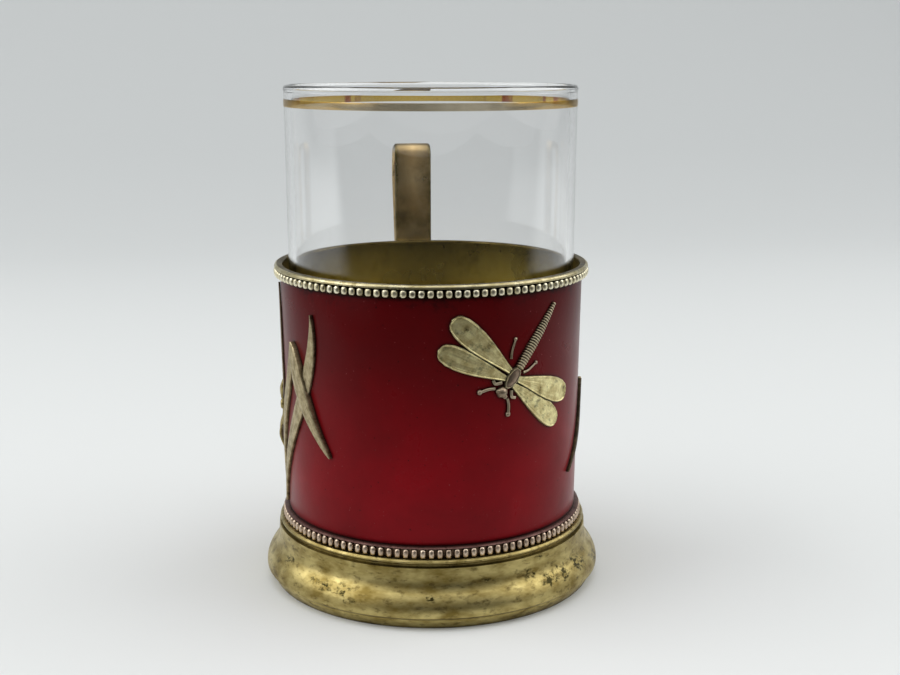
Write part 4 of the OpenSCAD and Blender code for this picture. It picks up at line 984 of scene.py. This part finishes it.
# Table, light and camera
# A pale table that sweeps up behind, broad soft lamps, and the camera at the
# height and distance worked out from the rings of the holder.
SWEEP_FLAT, SWEEP_ROUND, SWEEP_HALF = 0.55, 0.7, 1.8
sweep_line = [(-1.6, 0.0), (-0.6, 0.0), (0.0, 0.0), (SWEEP_FLAT, 0.0)]
sweep_line += [(SWEEP_FLAT + SWEEP_ROUND * sin(a), SWEEP_ROUND - SWEEP_ROUND * cos(a))
               for a in np.radians(np.linspace(6, 90, 15))]
sweep_line += [(SWEEP_FLAT + SWEEP_ROUND, 1.6)]
sweep = begun("table_sweep", bpy.ops.mesh.primitive_grid_add, x_subdivisions=1,
              y_subdivisions=len(sweep_line) - 1, size=1)
moved(sweep, np.array([(x, y, z) for y, z in sweep_line for x in (-SWEEP_HALF, SWEEP_HALF)]) / MM)
bpy.ops.object.shade_smooth()
# Matt pale paper, painted darker towards the back and up the sweep as shade.
# It looks darker in front of the holder, only as the brass mirrors it, as a room would.
paper = new_finish("pale_paper_sweep")
depth = add_node(paper, "SeparateXYZ", {"Vector": add_node(paper, "TexCoord").outputs["Object"]}).outputs["Y"]
shaded_far = add_node(paper, "MapRange", {"Value": depth, "From Min": -0.1, "From Max": 0.8})
paper_colour = blended(paper, shaded_far, "#e1e3e2", "#cccfcf")
in_front = add_node(paper, "MapRange", {"Value": depth, "From Min": -0.05, "From Max": -0.17})
glossy = add_node(paper, "LightPath").outputs["Glossy Depth"]
mirrored = add_node(paper, "Math", {0: glossy, 1: in_front}, operation="MULTIPLY", use_clamp=True)
paper_colour = blended(paper, mirrored, paper_colour, "#3e3e3c")
shown(paper, add_node(paper, "BsdfDiffuse", {"Color": paper_colour}))
sweep.data.materials.append(paper)

# A dark card behind the camera, seen only in the metal, where it gives the dark half of its gloss.
card = new_finish("dark_card")
shown(card, add_node(card, "BsdfDiffuse", {"Color": "#1c1a19"}))
dark_card = begun("dark_card_behind_camera", bpy.ops.mesh.primitive_plane_add, size=1,
                  location=(0, -0.8, 0.225))
dark_card.scale = (1.9, 0.45, 1)
dark_card.rotation_euler = (pi / 2, 0, 0)
bpy.ops.object.transform_apply(location=True, rotation=True, scale=True)
dark_card.data.materials.append(card)
dark_card.visible_camera = dark_card.visible_transmission = dark_card.visible_diffuse = False

world = bpy.data.worlds.new("soft_room")
bpy.context.scene.world = world
world.use_nodes = True
world.node_tree.nodes["Background"].inputs["Color"].default_value = linear("#e6e7e8")
world.node_tree.nodes["Background"].inputs["Strength"].default_value = 0.5


def soft_lamp(name, place, width, height, watts):
    """A rectangular soft lamp aimed at the holder's foot."""
    data = bpy.data.lights.new(name, "AREA")
    data.shape, data.size, data.size_y, data.energy = "RECTANGLE", width, height, watts
    lamp = bpy.data.objects.new(name, data)
    bpy.context.scene.collection.objects.link(lamp)
    lamp.location = place
    lamp.rotation_euler = (Vector((0, 0, 0.05)) - Vector(place)).to_track_quat("-Z", "Y").to_euler()


soft_lamp("window_left", (-0.95, 0.0, 0.72), 1.2, 0.8, 7)
soft_lamp("window_right", (0.95, 0.0, 0.72), 1.2, 0.8, 5.5)
soft_lamp("window_top", (0.0, -0.1, 1.15), 1.3, 1.2, 6)

camera_data = bpy.data.cameras.new("photo_camera")
camera_data.sensor_width = 36
camera_data.lens = 53.56
camera_data.clip_start = 0.01
camera = bpy.data.objects.new("photo_camera", camera_data)
bpy.context.scene.collection.objects.link(camera)
AROUND, TILT, AIM = radians(7.4), radians(11.81), radians(0.81)
REACH, CAMERA_Z = 0.3129, 0.1226
camera.location = (-sin(AROUND) * REACH, -cos(AROUND) * REACH, CAMERA_Z)
camera.rotation_euler = (pi / 2 - TILT, 0, -AROUND - AIM)
bpy.context.scene.camera = camera
bpy.context.scene.view_settings.view_transform = "Standard"
